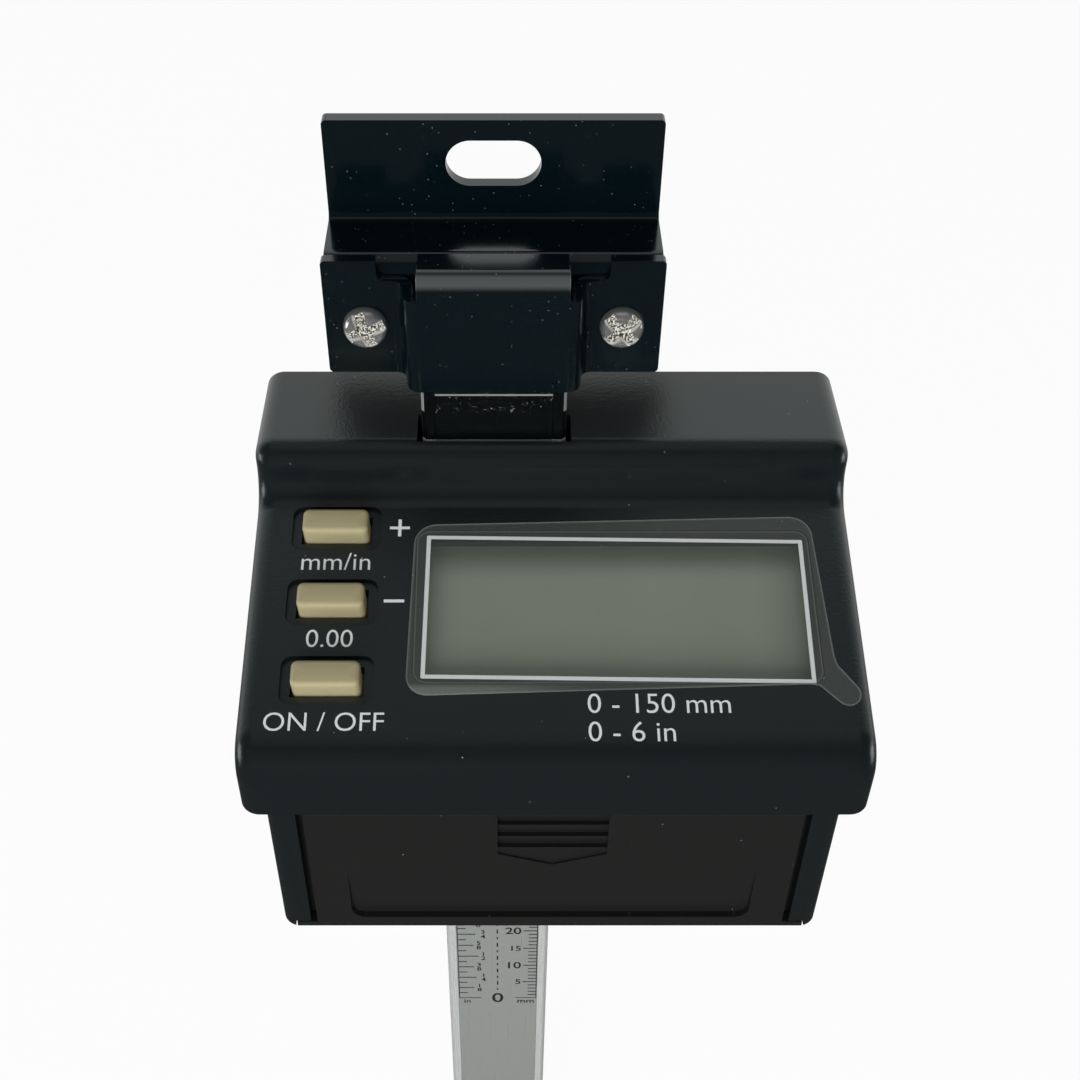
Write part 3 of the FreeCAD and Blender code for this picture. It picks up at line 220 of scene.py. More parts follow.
def newGroup(name, inputs, outputs):
    # a shader node group, where a default of four numbers makes a colour input and one number a value
    group = bpy.data.node_groups.new(name, "ShaderNodeTree")
    for label, value in inputs.items():
        kind = "NodeSocketColor" if isinstance(value, tuple) else "NodeSocketFloat"
        group.interface.new_socket(label, in_out="INPUT", socket_type=kind).default_value = value
    for label, kind in outputs.items():
        group.interface.new_socket(label, in_out="OUTPUT", socket_type="NodeSocket" + kind)
    return group, group.nodes.new("NodeGroupInput").outputs, group.nodes.new("NodeGroupOutput").inputs


def swing(tree, value, put):
    # gloss plus spread times a noise, taken about the middle of its range
    return calc(tree, "MULTIPLY_ADD", calc(tree, "SUBTRACT", value, 0.5), put["Spread"], put["Gloss"])


def fineGrainGroup():
    # moulded or sprayed skin: small noise for height and a slower one for the gloss
    group, put, out = newGroup("fineGrain", {"Scale": 2500.0, "Gloss": 0.4, "Spread": 0.1},
                               {"Height": "Float", "Roughness": "Float"})
    place = objectPlace(group)
    clouds = 60.0  # slow patches per metre
    feed(group, noise(group, place, put["Scale"], Detail=3.0, Roughness=0.6), out["Height"])
    feed(group, swing(group, noise(group, place, clouds, Detail=4.0), put), out["Roughness"])
    return group


def dustGroup():
    # sparse pale specks: cells of a Voronoi pattern whose own random value is low, near their points
    group, put, out = newGroup("dust", {"Scale": 700.0, "Share": 0.04, "Size": 0.12, "Base": (0, 0, 0, 1),
                                        "Speck": (0.4, 0.42, 0.42, 1)}, {"Color": "Color"})
    cells = node(group, "ShaderNodeTexVoronoi", Randomness=1.0)
    feed(group, objectPlace(group), cells.inputs["Vector"])
    feed(group, put["Scale"], cells.inputs["Scale"])
    split = node(group, "ShaderNodeSeparateColor")
    feed(group, cells.outputs["Color"], split.inputs["Color"])
    rare = calc(group, "LESS_THAN", split.outputs["Red"], put["Share"])
    small = calc(group, "LESS_THAN", cells.outputs["Distance"], put["Size"])
    feed(group, mixed(group, calc(group, "MULTIPLY", rare, small), put["Base"], put["Speck"]), out["Color"])
    return group


def brushedGroup():
    # fine streaks along Z: noise stretched a hundred times along the scale
    group, put, out = newGroup("brushed", {"Across": 9000.0, "Gloss": 0.3, "Spread": 0.15},
                               {"Height": "Float", "Roughness": "Float"})
    streak = noise(group, stretched(group, objectPlace(group), (1, 1, 0.01)), put["Across"], Detail=2.0)
    feed(group, streak, out["Height"])
    feed(group, swing(group, streak, put), out["Roughness"])
    return group


fineGrain, dust, brushed = fineGrainGroup(), dustGroup(), brushedGroup()


def finish(name, color, metallic=0.0, roughness=0.4, specular=0.5):
    # a material with plain values on its shader's own sockets
    material = bpy.data.materials.new(name)
    material.use_nodes = True
    tree = material.node_tree
    shader = tree.nodes["Principled BSDF"]
    shader.inputs["Base Color"].default_value = (*color, 1)
    shader.inputs["Metallic"].default_value = metallic
    shader.inputs["Roughness"].default_value = roughness
    shader.inputs["Specular IOR Level"].default_value = specular
    return material, tree, shader


def addSkin(tree, shader, group, depth, **values):
    # a grain or brush group drives the roughness, and a bump of the given depth in metres
    skin = node(tree, "ShaderNodeGroup", _node_tree=group, **values)
    bump = node(tree, "ShaderNodeBump", Strength=1.0, Distance=depth)
    feed(tree, skin.outputs["Height"], bump.inputs["Height"])
    feed(tree, bump.outputs["Normal"], shader.inputs["Normal"])
    feed(tree, skin.outputs["Roughness"], shader.inputs["Roughness"])


# finishes of the black pieces: grain, mirror strength and tint, and the scale, share and size of dust
blacks = {
    "caseBlack": {"color": (0.0068, 0.0095, 0.0105), "depth": 0.000028,
                  "grain": {"Scale": 3000, "Gloss": 0.26, "Spread": 0.08},
                  "dust": {"Scale": 1600, "Share": 0.03, "Size": 0.09},
                  "specular": 0.75, "tint": (0.92, 1.0, 0.985)},
    "doorBlack": {"color": (0.0118, 0.0116, 0.0113), "depth": 0.000006,
                  "grain": {"Scale": 2600, "Gloss": 0.36, "Spread": 0.1},
                  "dust": {"Scale": 1600, "Share": 0.02, "Size": 0.09},
                  "specular": 0.5, "tint": (1.0, 1.0, 1.0)},
    "bracketBlack": {"color": (0.0012, 0.0046, 0.0066), "depth": 0.000001,
                     "grain": {"Scale": 900, "Gloss": 0.13, "Spread": 0.06},
                     "dust": {"Scale": 3200, "Share": 0.06, "Size": 0.13},
                     "specular": 0.8, "tint": (0.92, 1.0, 1.0)},
}


def blackFinish(name):
    # a grained black, with specks of dust over its colour
    look = blacks[name]
    material, tree, shader = finish(name, look["color"], specular=look["specular"])
    shader.inputs["Specular Tint"].default_value = (*look["tint"], 1)
    addSkin(tree, shader, fineGrain, look["depth"], **look["grain"])
    specks = node(tree, "ShaderNodeGroup", _node_tree=dust, Base=(*look["color"], 1), **look["dust"])
    feed(tree, specks.outputs["Color"], shader.inputs["Base Color"])
    return material


# the clamp's lip, with a painted highlight: a grey band painted along the bend
lipSheen = {"low": -6.95, "lowFade": 0.9, "high": -5.35, "highFade": 0.3, "front": -13.15,
           "tone": (0.068, 0.074, 0.074)}


def bracketFinish():
    # the black finish, mixed with the painted highlight's grey tone in a soft band of Z, in front of a
    # plane in Y
    material = blackFinish("bracketBlack")
    tree = material.node_tree
    base = tree.nodes["Principled BSDF"].inputs["Base Color"]
    painted = base.links[0].from_socket
    axis = axes(tree, objectPlace(tree))
    ahead = calc(tree, "LESS_THAN", axis["Y"], lipSheen["front"] * mm)
    rise = ramp(tree, axis["Z"], lipSheen["low"] * mm, (lipSheen["low"] + lipSheen["lowFade"]) * mm)
    fall = ramp(tree, axis["Z"], lipSheen["high"] * mm, (lipSheen["high"] - lipSheen["highFade"]) * mm)
    band = calc(tree, "MULTIPLY", calc(tree, "MULTIPLY", ahead, rise), fall)
    feed(tree, mixed(tree, band, painted, lipSheen["tone"]), base)
    return material


plainGrain = {"depth": 0.000005, "Scale": 1500, "Spread": 0.08}  # what the plain pieces share


def plainFinish(name, color, roughness, metallic=0.0):
    # one colour with a slight grain
    material, tree, shader = finish(name, color, metallic=metallic)
    addSkin(tree, shader, fineGrain, Gloss=roughness, **plainGrain)
    return material


# plated screws: a mirror dome, and a recess with painted highlights on its walls and coarse bright and dark
# grains painted in as its sparkle
zinc = {"dome": (0.66, 0.67, 0.66), "dark": (0.035, 0.035, 0.03), "bright": (0.95, 0.93, 0.84),
        "wallHighlight": (0.96, 0.96, 0.93), "grain": 6000.0, "from": 0.47, "to": 0.58,
        "mirror": 0.86, "dull": -0.60,
        "skin": {"depth": 0.000012, "Scale": 5000, "Gloss": 0.19, "Spread": 0.08}}


def screwFinish():
    # the tone follows the mesh's own sunk value, which is one in the cross and a half on its walls; the
    # walls get a painted highlight and the cross a painted sparkle of bright and dark grains
    material, tree, shader = finish("screwZinc", zinc["dome"])
    addSkin(tree, shader, fineGrain, **zinc["skin"])
    grains = noise(tree, objectPlace(tree), zinc["grain"], Detail=2.0)
    grains = ramp(tree, grains, zinc["from"], zinc["to"], kind="LINEAR")
    paintedSparkle = mixed(tree, grains, zinc["dark"], zinc["bright"])
    sunk = node(tree, "ShaderNodeAttribute", _attribute_name="sunk").outputs["Fac"]
    wallHighlight = calc(tree, "MULTIPLY", calc(tree, "PINGPONG", sunk, 0.5), 2.0)  # up to one at a half, then down
    tone = mixed(tree, wallHighlight, mixed(tree, sunk, zinc["dome"], paintedSparkle), zinc["wallHighlight"])
    feed(tree, tone, shader.inputs["Base Color"])
    feed(tree, calc(tree, "MULTIPLY_ADD", sunk, zinc["dull"], zinc["mirror"]), shader.inputs["Metallic"])
    return material


def brushedFinish(name, color, gloss, spread):
    # bare metal with fine streaks along Z
    material, tree, shader = finish(name, color, metallic=1.0)
    addSkin(tree, shader, brushed, depth=0.000002, Gloss=gloss, Spread=spread)
    return material


# the scale: its top end's low edge, above which its shade and dark reflection are painted as a dark tone, a
# rubbed line, the height above which the end is painted as lit so that scratches and the steel's painted
# edge highlights start there, and the tones
scaleEnd = {"low": -27.2, "line": -21.0, "half": 0.12, "litPart": -23.4, "margin": 7.6, "metal": 0.3,
            "dark": (0.002, 0.003, 0.004), "silver": (0.34, 0.357, 0.338), "wearAndSheen": (0.30, 0.32, 0.30),
            "steel": (0.60, 0.62, 0.61), "scratches": 1500.0, "scratchFrom": 0.62, "scratchTo": 0.74}


def scaleFinish(name, tone, wearAndSheenMask, **brush):
    # brushed metal with its shade and dark reflection painted as a dark end, which is painted pale where
    # the given mask is one: wear on the film, painted highlights on the steel's edges
    material, tree, shader = finish(name, scaleEnd[tone], metallic=scaleEnd["metal"])
    addSkin(tree, shader, brushed, **brush)
    place = objectPlace(tree)
    axis = axes(tree, place)
    above = calc(tree, "GREATER_THAN", axis["Z"], scaleEnd["low"] * mm)
    litPart = calc(tree, "GREATER_THAN", axis["Z"], scaleEnd["litPart"] * mm)
    # the dark end is painted shade and dark reflection; the pale tone over it is wear on the film and
    # painted edge highlights on the steel
    end = mixed(tree, wearAndSheenMask(tree, place, axis, litPart), scaleEnd["dark"], scaleEnd["wearAndSheen"])
    feed(tree, mixed(tree, above, scaleEnd[tone], end), shader.inputs["Base Color"])
    return material


def filmWear(tree, place, axis, litPart):
    # scratches by a bent noise near the top, shown only above the height where the end is painted as lit,
    # and one rubbed line across
    lines = noise(tree, place, scaleEnd["scratches"], Detail=4.0, Distortion=1.5)
    lines = ramp(tree, lines, scaleEnd["scratchFrom"], scaleEnd["scratchTo"], kind="LINEAR")
    wearAndSheen = calc(tree, "COMPARE", axis["Z"], scaleEnd["line"] * mm, scaleEnd["half"] * mm)
    return calc(tree, "MAXIMUM", calc(tree, "MULTIPLY", lines, litPart), wearAndSheen)


def steelWear(tree, place, axis, litPart):
    # painted highlights on the two margins near the top, past a distance from the middle, above the height
    # where the end is painted as lit
    margin = calc(tree, "GREATER_THAN", calc(tree, "ABSOLUTE", axis["X"]), scaleEnd["margin"] * mm)
    return calc(tree, "MULTIPLY", margin, litPart)


# the display: two tones in slow clouds, and painted shade from two edges as dark at, clear from and least
display = {"tones": ((0.305, 0.350, 0.266), (0.272, 0.312, 0.240)), "clouds": (110, 40, 40), "gloss": 0.25,
           "shades": {"Y": (-21.5, -25.5, 0.35), "X": (34.0, 28.0, 0.72)}}


def lcdFinish():
    # grey-green glass: a mix of its tones by a slow noise, times a smooth ramp of painted shade from each
    # edge
    material, tree, shader = finish("lcdGlass", display["tones"][0], roughness=display["gloss"])
    place = objectPlace(tree)
    clouds = noise(tree, stretched(tree, place, display["clouds"]), 1.0, Detail=2.0)
    axis = axes(tree, place)
    edges = [ramp(tree, axis[letter], dark * mm, clear * mm, least)
             for letter, (dark, clear, least) in display["shades"].items()]
    shaded = node(tree, "ShaderNodeVectorMath", _operation="SCALE")
    feed(tree, mixed(tree, clouds, *display["tones"]), shaded.inputs[0])
    feed(tree, calc(tree, "MULTIPLY", *edges), shaded.inputs["Scale"])
    feed(tree, shaded.outputs[0], shader.inputs["Base Color"])
    return material


# the two cells lie opposite ways, each with a pale band at its plus end and bare metal at both
cell = {"left": -15.85, "right": 28.65, "between": -61.65, "band": 9.0, "bare": 0.9, "metal": 0.35,
        "jacket": (0.045, 0.070, 0.095), "pale": (0.42, 0.44, 0.45), "nickel": (0.62, 0.61, 0.58),
        "skin": {"depth": 0.000004, "Scale": 1500, "Gloss": 0.3, "Spread": 0.08}}


def cellFinish():
    # distance along each cell from its middle, with its sign turned over for the lower one
    material, tree, shader = finish("cellJacket", cell["jacket"], metallic=cell["metal"])
    addSkin(tree, shader, fineGrain, **cell["skin"])
    axis = axes(tree, objectPlace(tree))
    middle, half = (cell["left"] + cell["right"]) / 2, (cell["right"] - cell["left"]) / 2
    upper = calc(tree, "GREATER_THAN", axis["Z"], cell["between"] * mm)
    sign = calc(tree, "MULTIPLY_ADD", upper, 2.0, -1.0)
    shifted = calc(tree, "SUBTRACT", axis["X"], middle * mm)
    along = calc(tree, "MULTIPLY", sign, shifted)
    away = calc(tree, "ABSOLUTE", shifted)
    tone = cell["jacket"]
    for measure, start, paint in ((along, half - cell["band"], "pale"),
                                  (away, half - cell["bare"], "nickel")):
        past = calc(tree, "GREATER_THAN", measure, start * mm)
        tone = mixed(tree, past, tone, cell[paint])
    feed(tree, tone, shader.inputs["Base Color"])
    return material


def clearFinish(name, color, alpha, roughness):
    # a thin clear sheet, by its alpha
    material, tree, shader = finish(name, color, roughness=roughness)
    shader.inputs["Alpha"].default_value = alpha
    return material


materials = {
    "scale_steel": scaleFinish("scaleSteel", "steel", steelWear, depth=0.000002, Gloss=0.28, Spread=0.2),
    "scale_print": scaleFinish("scaleFilm", "silver", filmWear, depth=0.000001, Gloss=0.3, Spread=0.12),
    "bracket_black": bracketFinish(),
    "screw_zinc": screwFinish(),
    "case_black": blackFinish("caseBlack"),
    "door_black": blackFinish("doorBlack"),
    "lens_clear": clearFinish("lensClear", (0.02, 0.02, 0.02), alpha=0.04, roughness=0.04),
    "cling_clear": clearFinish("clingClear", (0.5, 0.52, 0.52), alpha=0.10, roughness=0.12),
    "button_tan": plainFinish("buttonTan", (0.40, 0.355, 0.205), 0.42),
    "circuit_board": plainFinish("circuitGreen", (0.03, 0.16, 0.08), 0.35),
    "connector_black": plainFinish("connectorBlack", (0.03, 0.03, 0.03), 0.5),
    "lcd_glass": lcdFinish(),
    "carrier_grey": plainFinish("carrierGrey", (0.05, 0.05, 0.05), 0.5),
    "zebra_rubber": plainFinish("zebraRubber", (0.35, 0.35, 0.36), 0.7),
    "cell_jacket": cellFinish(),
    "contact_nickel": plainFinish("contactNickel", (0.7, 0.68, 0.62), 0.25, 1.0),
    "brass_bright": plainFinish("brassBright", (0.72, 0.55, 0.22), 0.25, 1.0),
    "slide_steel": brushedFinish("slideSteel", (0.58, 0.59, 0.6), 0.35, 0.15),
}
slotOf = {
    "scale_steel": ["scale_beam"],
    "scale_print": ["scale_film"],
    "bracket_black": ["rear_bracket", "clamp_plate"],
    "screw_zinc": ["bracket_screws", "case_screws", "board_screws", "slide_screws"],
    "case_black": ["upper_case", "lower_case", "rear_cover"],
    "door_black": ["battery_door"],
    "lens_clear": ["window_lens"],
    "cling_clear": ["window_film"],
    "button_tan": ["button_units", "button_zero", "button_power"],
    "circuit_board": ["main_board", "sensor_board", "pattern_strip"],
    "connector_black": ["board_connector", "tact_switches"],
    "lcd_glass": ["lcd_panel"],
    "carrier_grey": ["lcd_carrier"],
    "zebra_rubber": ["zebra_strips"],
    "cell_jacket": ["battery_cells"],
    "contact_nickel": ["contact_springs", "contact_plates"],
    "brass_bright": ["mount_inserts", "gib_strip"],
    "slide_steel": ["slide_frame", "gib_spring"],
}
for slot, names in slotOf.items():
    for name in names:
        nodes[name].data.materials.clear()
        nodes[name].data.materials.append(materials[slot])
print("finishes set")

# camera, from the photograph's vanishing lines
view = {"place": (1.2, -142.3, 78.4), "pitch": 46.8, "lens": 50.0, "sensor": 36.0, "shift": 0.0324,
        "near": 5.0}


def addCamera():
    # it looks straight ahead along Y, pitched down
    lens = bpy.data.cameras.new("camera")
    lens.lens = view["lens"]
    lens.sensor_width = view["sensor"]
    lens.shift_x = view["shift"]
    lens.clip_start = view["near"] * mm
    camera = bpy.data.objects.new("camera", lens)
    camera.location = [v * mm for v in view["place"]]
    camera.rotation_euler = (math.radians(view["pitch"]), 0, 0)
    bpy.context.scene.collection.objects.link(camera)
    bpy.context.scene.camera = camera


addCamera()

# light: front and rear fill it, and what reflections see is bright behind, dim above and dark in front;
# the turns are where each goes over, by the ray's direction
room = {"front": 0.36, "rear": 0.21, "fillTurn": (-0.8, 0.8), "seenFront": 0.04, "seenBack": 0.85,
        "seenTurn": (0.1, 0.6), "seenAbove": 0.20, "aboveTurn": (0.85, 0.965)}


def addRoom():
    # three levels by kind of ray: white to the camera, a front-heavy fill, and a dim room for reflections
    world = bpy.data.worlds.new("room")
    bpy.context.scene.world = world
    world.use_nodes = True
    tree = world.node_tree
    tree.nodes.clear()
    out = node(tree, "ShaderNodeOutputWorld")
    ray = node(tree, "ShaderNodeLightPath").outputs
    axis = axes(tree, node(tree, "ShaderNodeTexCoord").outputs["Generated"])
    fill = ramp(tree, axis["Y"], *room["fillTurn"], room["front"], room["rear"])
    behind = ramp(tree, axis["Y"], *room["seenTurn"], room["seenFront"], room["seenBack"])
    seen = mixed(tree, ramp(tree, axis["Z"], *room["aboveTurn"]), behind, room["seenAbove"], "FLOAT")
    level = mixed(tree, ray["Is Glossy Ray"], fill, seen, "FLOAT")
    clear = calc(tree, "MAXIMUM", ray["Is Camera Ray"], ray["Is Transmission Ray"])
    sky = node(tree, "ShaderNodeBackground", Color=(1, 1, 1, 1))
    feed(tree, mixed(tree, clear, level, 1.0, "FLOAT"), sky.inputs["Strength"])
    feed(tree, sky.outputs[0], out.inputs["Surface"])


# lamps in metres and watts: one broad soft one, and two small ones that only give edges their glints
lamps = {
    "frontSoft": {"place": (-0.20, -0.95, 0.10), "size": 0.8, "power": 11.0, "mirrored": False},
    "leftGlint": {"place": (-0.60, -0.05, -0.10), "size": 0.20, "power": 0.36, "mirrored": True},
    "rightGlint": {"place": (0.60, -0.05, -0.10), "size": 0.20, "power": 0.36, "mirrored": True},
}
lampAim = (0.006, -0.02, -0.04)  # the head's middle


def addLamps():
    # square lamps turned to the head
    for name, lamp in lamps.items():
        light = bpy.data.lights.new(name, "AREA")
        light.shape = "SQUARE"
        light.size = lamp["size"]
        light.energy = lamp["power"]
        holder = bpy.data.objects.new(name, light)
        holder.location = lamp["place"]
        aim = Vector(lampAim) - holder.location
        holder.rotation_euler = aim.to_track_quat("-Z", "Y").to_euler()
        holder.visible_glossy = lamp["mirrored"]
        bpy.context.scene.collection.objects.link(holder)


# the floor in metres: half its width, its gap under the scale's foot, and how it looks in reflections
ground = {"half": 6.0, "gap": 0.0005, "tone": (0.82, 0.82, 0.82), "white": 0.95, "seenFront": 0.06,
          "seenTurn": (0.0, 0.5)}


def addFloor():
    # a wide plane: white to the camera, with part of its own shading kept for the shadow
    corners = np.array([(-1, -1), (1, -1), (1, 1), (-1, 1)]) * ground["half"]
    points = np.insert(corners, 2, cadBox[0][2] - ground["gap"], axis=1)
    floor = meshObject("floor", points, [(0, 1, 2, 3)], smooth=False)
    material = bpy.data.materials.new("paleFloor")
    material.use_nodes = True
    tree = material.node_tree
    tree.nodes.clear()
    out = node(tree, "ShaderNodeOutputMaterial")
    ray = node(tree, "ShaderNodeLightPath").outputs
    seen = calc(tree, "MAXIMUM", ray["Is Camera Ray"], ray["Is Transmission Ray"])
    matte = node(tree, "ShaderNodeBsdfDiffuse", Color=(*ground["tone"], 1))
    glow = node(tree, "ShaderNodeEmission", Strength=1.0)
    mirrored = node(tree, "ShaderNodeEmission")
    axis = axes(tree, objectPlace(tree))
    depth = ramp(tree, axis["Y"], *ground["seenTurn"], ground["seenFront"], room["seenBack"])
    feed(tree, depth, mirrored.inputs["Strength"])
    shaded = mixedShader(tree, ray["Is Glossy Ray"], matte, mirrored)
    whole = mixedShader(tree, calc(tree, "MULTIPLY", seen, ground["white"]), shaded, glow)
    feed(tree, whole.outputs[0], out.inputs["Surface"])
    floor.data.materials.append(material)


# a dark studio card behind the bracket, only there for reflections in the hood's top plate
darkCard = {"low": (-19.5, -19.5), "high": (20.9, -4.5), "behind": 6.0, "tone": (0.003, 0.004, 0.005)}


def addCard():
    # an upright rectangle between two corners given in X and Z, unseen but for mirrored rays
    (x0, z0), (x1, z1) = darkCard["low"], darkCard["high"]
    corners = np.array([(x0, z0), (x1, z0), (x1, z1), (x0, z1)])
    points = np.insert(corners, 1, darkCard["behind"], axis=1) * mm
    card = meshObject("darkCard", points, [(0, 1, 2, 3)], smooth=False)
    card.data.materials.append(finish("cardBlack", darkCard["tone"], roughness=0.9, specular=0.0)[0])
    card.visible_camera = False
    card.visible_diffuse = False
    card.visible_shadow = False
    card.visible_transmission = False


addRoom()
addLamps()
addFloor()
addCard()
bpy.context.scene.view_settings.view_transform = "Standard"
print("camera, room and floor set")

# softened edges: a bevel width for each piece, the least turn and length of an edge that gets one,
# the turn under which faces are one, and the decimals by which corners are one
softening = {"widths": {"upper_case": 0.25, "lower_case": 0.25, "battery_door": 0.18, "rear_cover": 0.2,
                        "rear_bracket": 0.2, "clamp_plate": 0.2, "scale_beam": 0.12},
             "turn": math.radians(40), "least": 0.25, "flat": math.radians(0.3), "decimals": 4, "steps": 2}


def weldedCopy(name, source):
    # corners at the same spot become one, and flat triangles become whole faces
    spots = np.empty(len(source.vertices) * 3)
    source.vertices.foreach_get("co", spots)
    corners = np.empty(len(source.loops), int)
    source.loops.foreach_get("vertex_index", corners)
    spots = spots.reshape(-1, 3)
    rounded = np.round(spots / mm, softening["decimals"])
    first, same = np.unique(rounded, axis=0, return_index=True, return_inverse=True)[1:]
    piece = meshObject(name, spots[first], same.reshape(-1)[corners].reshape(-1, 3).tolist())
    work = bmesh.new()
    work.from_mesh(piece.data)
    bmesh.ops.dissolve_limit(work, angle_limit=softening["flat"], verts=work.verts, edges=work.edges)
    work.to_mesh(piece.data)
    work.free()
    return piece


def softened(nodeName, width):
    # edges that turn enough and are long enough get a narrow bevel of two steps
    piece = weldedCopy("soft." + nodeName, nodes[nodeName].data)
    mesh = piece.data
    work = bmesh.new()
    work.from_mesh(mesh)
    least = softening["least"] * mm
    weights = [float(e.calc_face_angle(0.0) > softening["turn"] and e.calc_length() > least)
               for e in work.edges]
    work.free()
    mesh.attributes.new("bevel_weight_edge", "FLOAT", "EDGE").data.foreach_set("value", weights)
    mesh.set_sharp_from_angle(angle=softening["turn"])
    bevel = piece.modifiers.new("edges", "BEVEL")
    bevel.limit_method = "WEIGHT"
    bevel.width = width * mm
    bevel.segments = softening["steps"]
    weighted = piece.modifiers.new("shading", "WEIGHTED_NORMAL")
    weighted.keep_sharp = True
    return piece


bodies = frame["record"]["behaviour"]["bodies"]
bodyOf = {name: body for body, names in bodies.items() for name in names}
for slot, names in slotOf.items():
    for name in names:
        if name in softening["widths"]:
            soft = softened(name, softening["widths"][name])
            dress(soft, materials[slot], bodyOf[name])
            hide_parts(name)
print("edges softened")

# cross-recess screws: spots are x, z and a turn
bracketScrew = {"head": 2.35, "rise": 1.7, "shank": 1.5, "long": 5.0, "pitch": 0.5, "depth": 0.16,
                "base": -11.32, "spots": [(-13.5, -13.4, 0.35), (13.5, -13.4, 0.75)],
                "reach": 2.15, "arm": 0.76, "sink": 1.0, "cols": 96}
caseScrew = {"head": 2.2, "rise": 1.3, "shank": 1.25, "long": 6.0, "pitch": 1.1, "depth": 0.12,
             "base": -1.43, "spots": [(-21.55, -32.9, 0.2), (34.35, -32.9, 0.9),
                                      (-19.4, -68.3, 0.5), (32.2, -68.3, 1.2)],
             "reach": 1.3, "arm": 0.36, "sink": 0.9, "cols": 64}
# what both share: the tip, the thread's rings, the dome's rings and powers, and the recess's slopes
screwForm = {"tipLong": 0.2, "tipIn": 0.3, "neck": 0.02, "step": 0.07, "rings": 54, "gather": 1.5,
             "pole": 0.985, "shoulder": 2.4, "bulge": 0.75, "taper": 0.1, "side": 0.08, "end": 0.12,
             "shallow": 0.5}


def screwRings(look):
    # a shank with a triangle-wave thread, then a pan dome with a tapering cross sunk into it
    form = screwForm
    turn = np.linspace(0, 2 * math.pi, look["cols"], endpoint=False)[None, :]
    high = np.arange(-look["long"] + form["tipLong"], -form["neck"], form["step"])[:, None]
    wave = np.abs(((turn / (2 * math.pi) + high / look["pitch"]) % 1) * 2 - 1)
    stem = look["shank"] - look["depth"] * wave
    tip = np.full_like(turn, look["shank"] - form["tipIn"])
    inward = np.linspace(0, 1, form["rings"]) ** form["gather"] * form["pole"]
    rim = look["head"] * (1 - inward)[:, None] + 0 * turn
    slope = np.arccos(np.clip((rim / look["head"]) ** form["shoulder"], 0, 1))
    dome = look["rise"] * np.sin(slope) ** form["bulge"]
    across = np.abs(rim * np.cos(turn))
    up = np.abs(rim * np.sin(turn))

    def arm(a, b):
        # one inside the arm's outline, with a narrow ramp at its edges
        side = np.clip((look["arm"] - form["taper"] * a / look["reach"] - b) / form["side"], 0, 1)
        return side * np.clip((look["reach"] - a) / form["end"], 0, 1)

    cross = np.maximum(arm(across, up), arm(up, across))
    dome = dome - cross * look["sink"] * (1 - form["shallow"] * (rim / look["reach"]) ** 2)
    radius = np.concatenate([tip, stem, rim])
    height = np.concatenate([np.full_like(turn, -look["long"]), high + 0 * turn, np.maximum(dome, 0.0)])
    sunk = np.concatenate([0 * tip, 0 * stem, cross])
    return radius, height, turn, sunk


def crossScrews(name, look, out):
    # the same screw at each spot, turned about its own axis, with its head towards out along Y
    radius, height, turn, sunk = screwRings(look)
    points, faces = [], []
    for x, z, spin in look["spots"]:
        p, q = radius * np.cos(turn + spin), radius * np.sin(turn + spin)
        faces += tubeFaces(*radius.shape, len(points) * radius.size)
        points.append(np.stack([x - out * p, look["base"] + out * height, z + q], -1) * mm)
    piece = meshObject(name, points, faces)
    marked = piece.data.attributes.new("sunk", "FLOAT", "POINT")
    marked.data.foreach_set("value", np.tile(sunk.reshape(-1), len(look["spots"])))
    return piece


screws = crossScrews("bracketScrews", bracketScrew, -1)
dress(screws, materials["screw_zinc"], "scale")
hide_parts("bracket_screws")
backScrews = crossScrews("caseScrews", caseScrew, 1)
dress(backScrews, materials["screw_zinc"], "head")
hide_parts("case_screws")
print("screws made")

# push buttons: rows are each one's u, and dome is the top's insets and drops
button = {"x": -23.75, "rows": {"button_units": 4.8, "button_zero": 14.08, "button_power": 23.36},
          "wide": 7.2, "tall": 3.0, "edge": 0.7, "leastEdge": 0.08, "proud": 2.0, "crown": 0.55,
          "crownSteps": 7, "crownDrop": 0.06, "side": 0.5, "dome": [(0.9, 0.015), (1.3, 0.0)],
          "foot": -3.0, "flange": 0.8, "thick": 0.8}


def pushButton(name, u):
    # rounded-rectangle rings: a flange, straight sides, a quarter-round crown and a slightly domed top
    turns = np.linspace(0, math.pi / 2, button["crownSteps"])
    shoulder = button["foot"] + button["thick"]
    crown = button["proud"] - button["crownDrop"]
    inset = [-button["flange"], -button["flange"], 0.0, 0.0]
    height = [button["foot"], shoulder, shoulder, button["side"]]
    inset += [button["crown"] * (1 - math.cos(t)) for t in turns]
    height += [crown - button["crown"] * (1 - math.sin(t)) for t in turns]
    inset += [i for i, drop in button["dome"]]
    height += [button["proud"] - drop for i, drop in button["dome"]]
    rings = []
    for i, n in zip(inset, height):
        edge = max(button["edge"] - i, button["leastEdge"])
        ring = roundRect(button["wide"] - 2 * i, button["tall"] - 2 * i, edge)
        rings.append(onFace(button["x"] + ring[:, 0], u - ring[:, 1], n))
    return loft(name, rings)


for nodeName, u in button["rows"].items():
    cap = pushButton(nodeName.replace("_", "") + "Cap", u)
    dress(cap, materials["button_tan"], nodeName)
    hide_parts(nodeName)
print("buttons made")

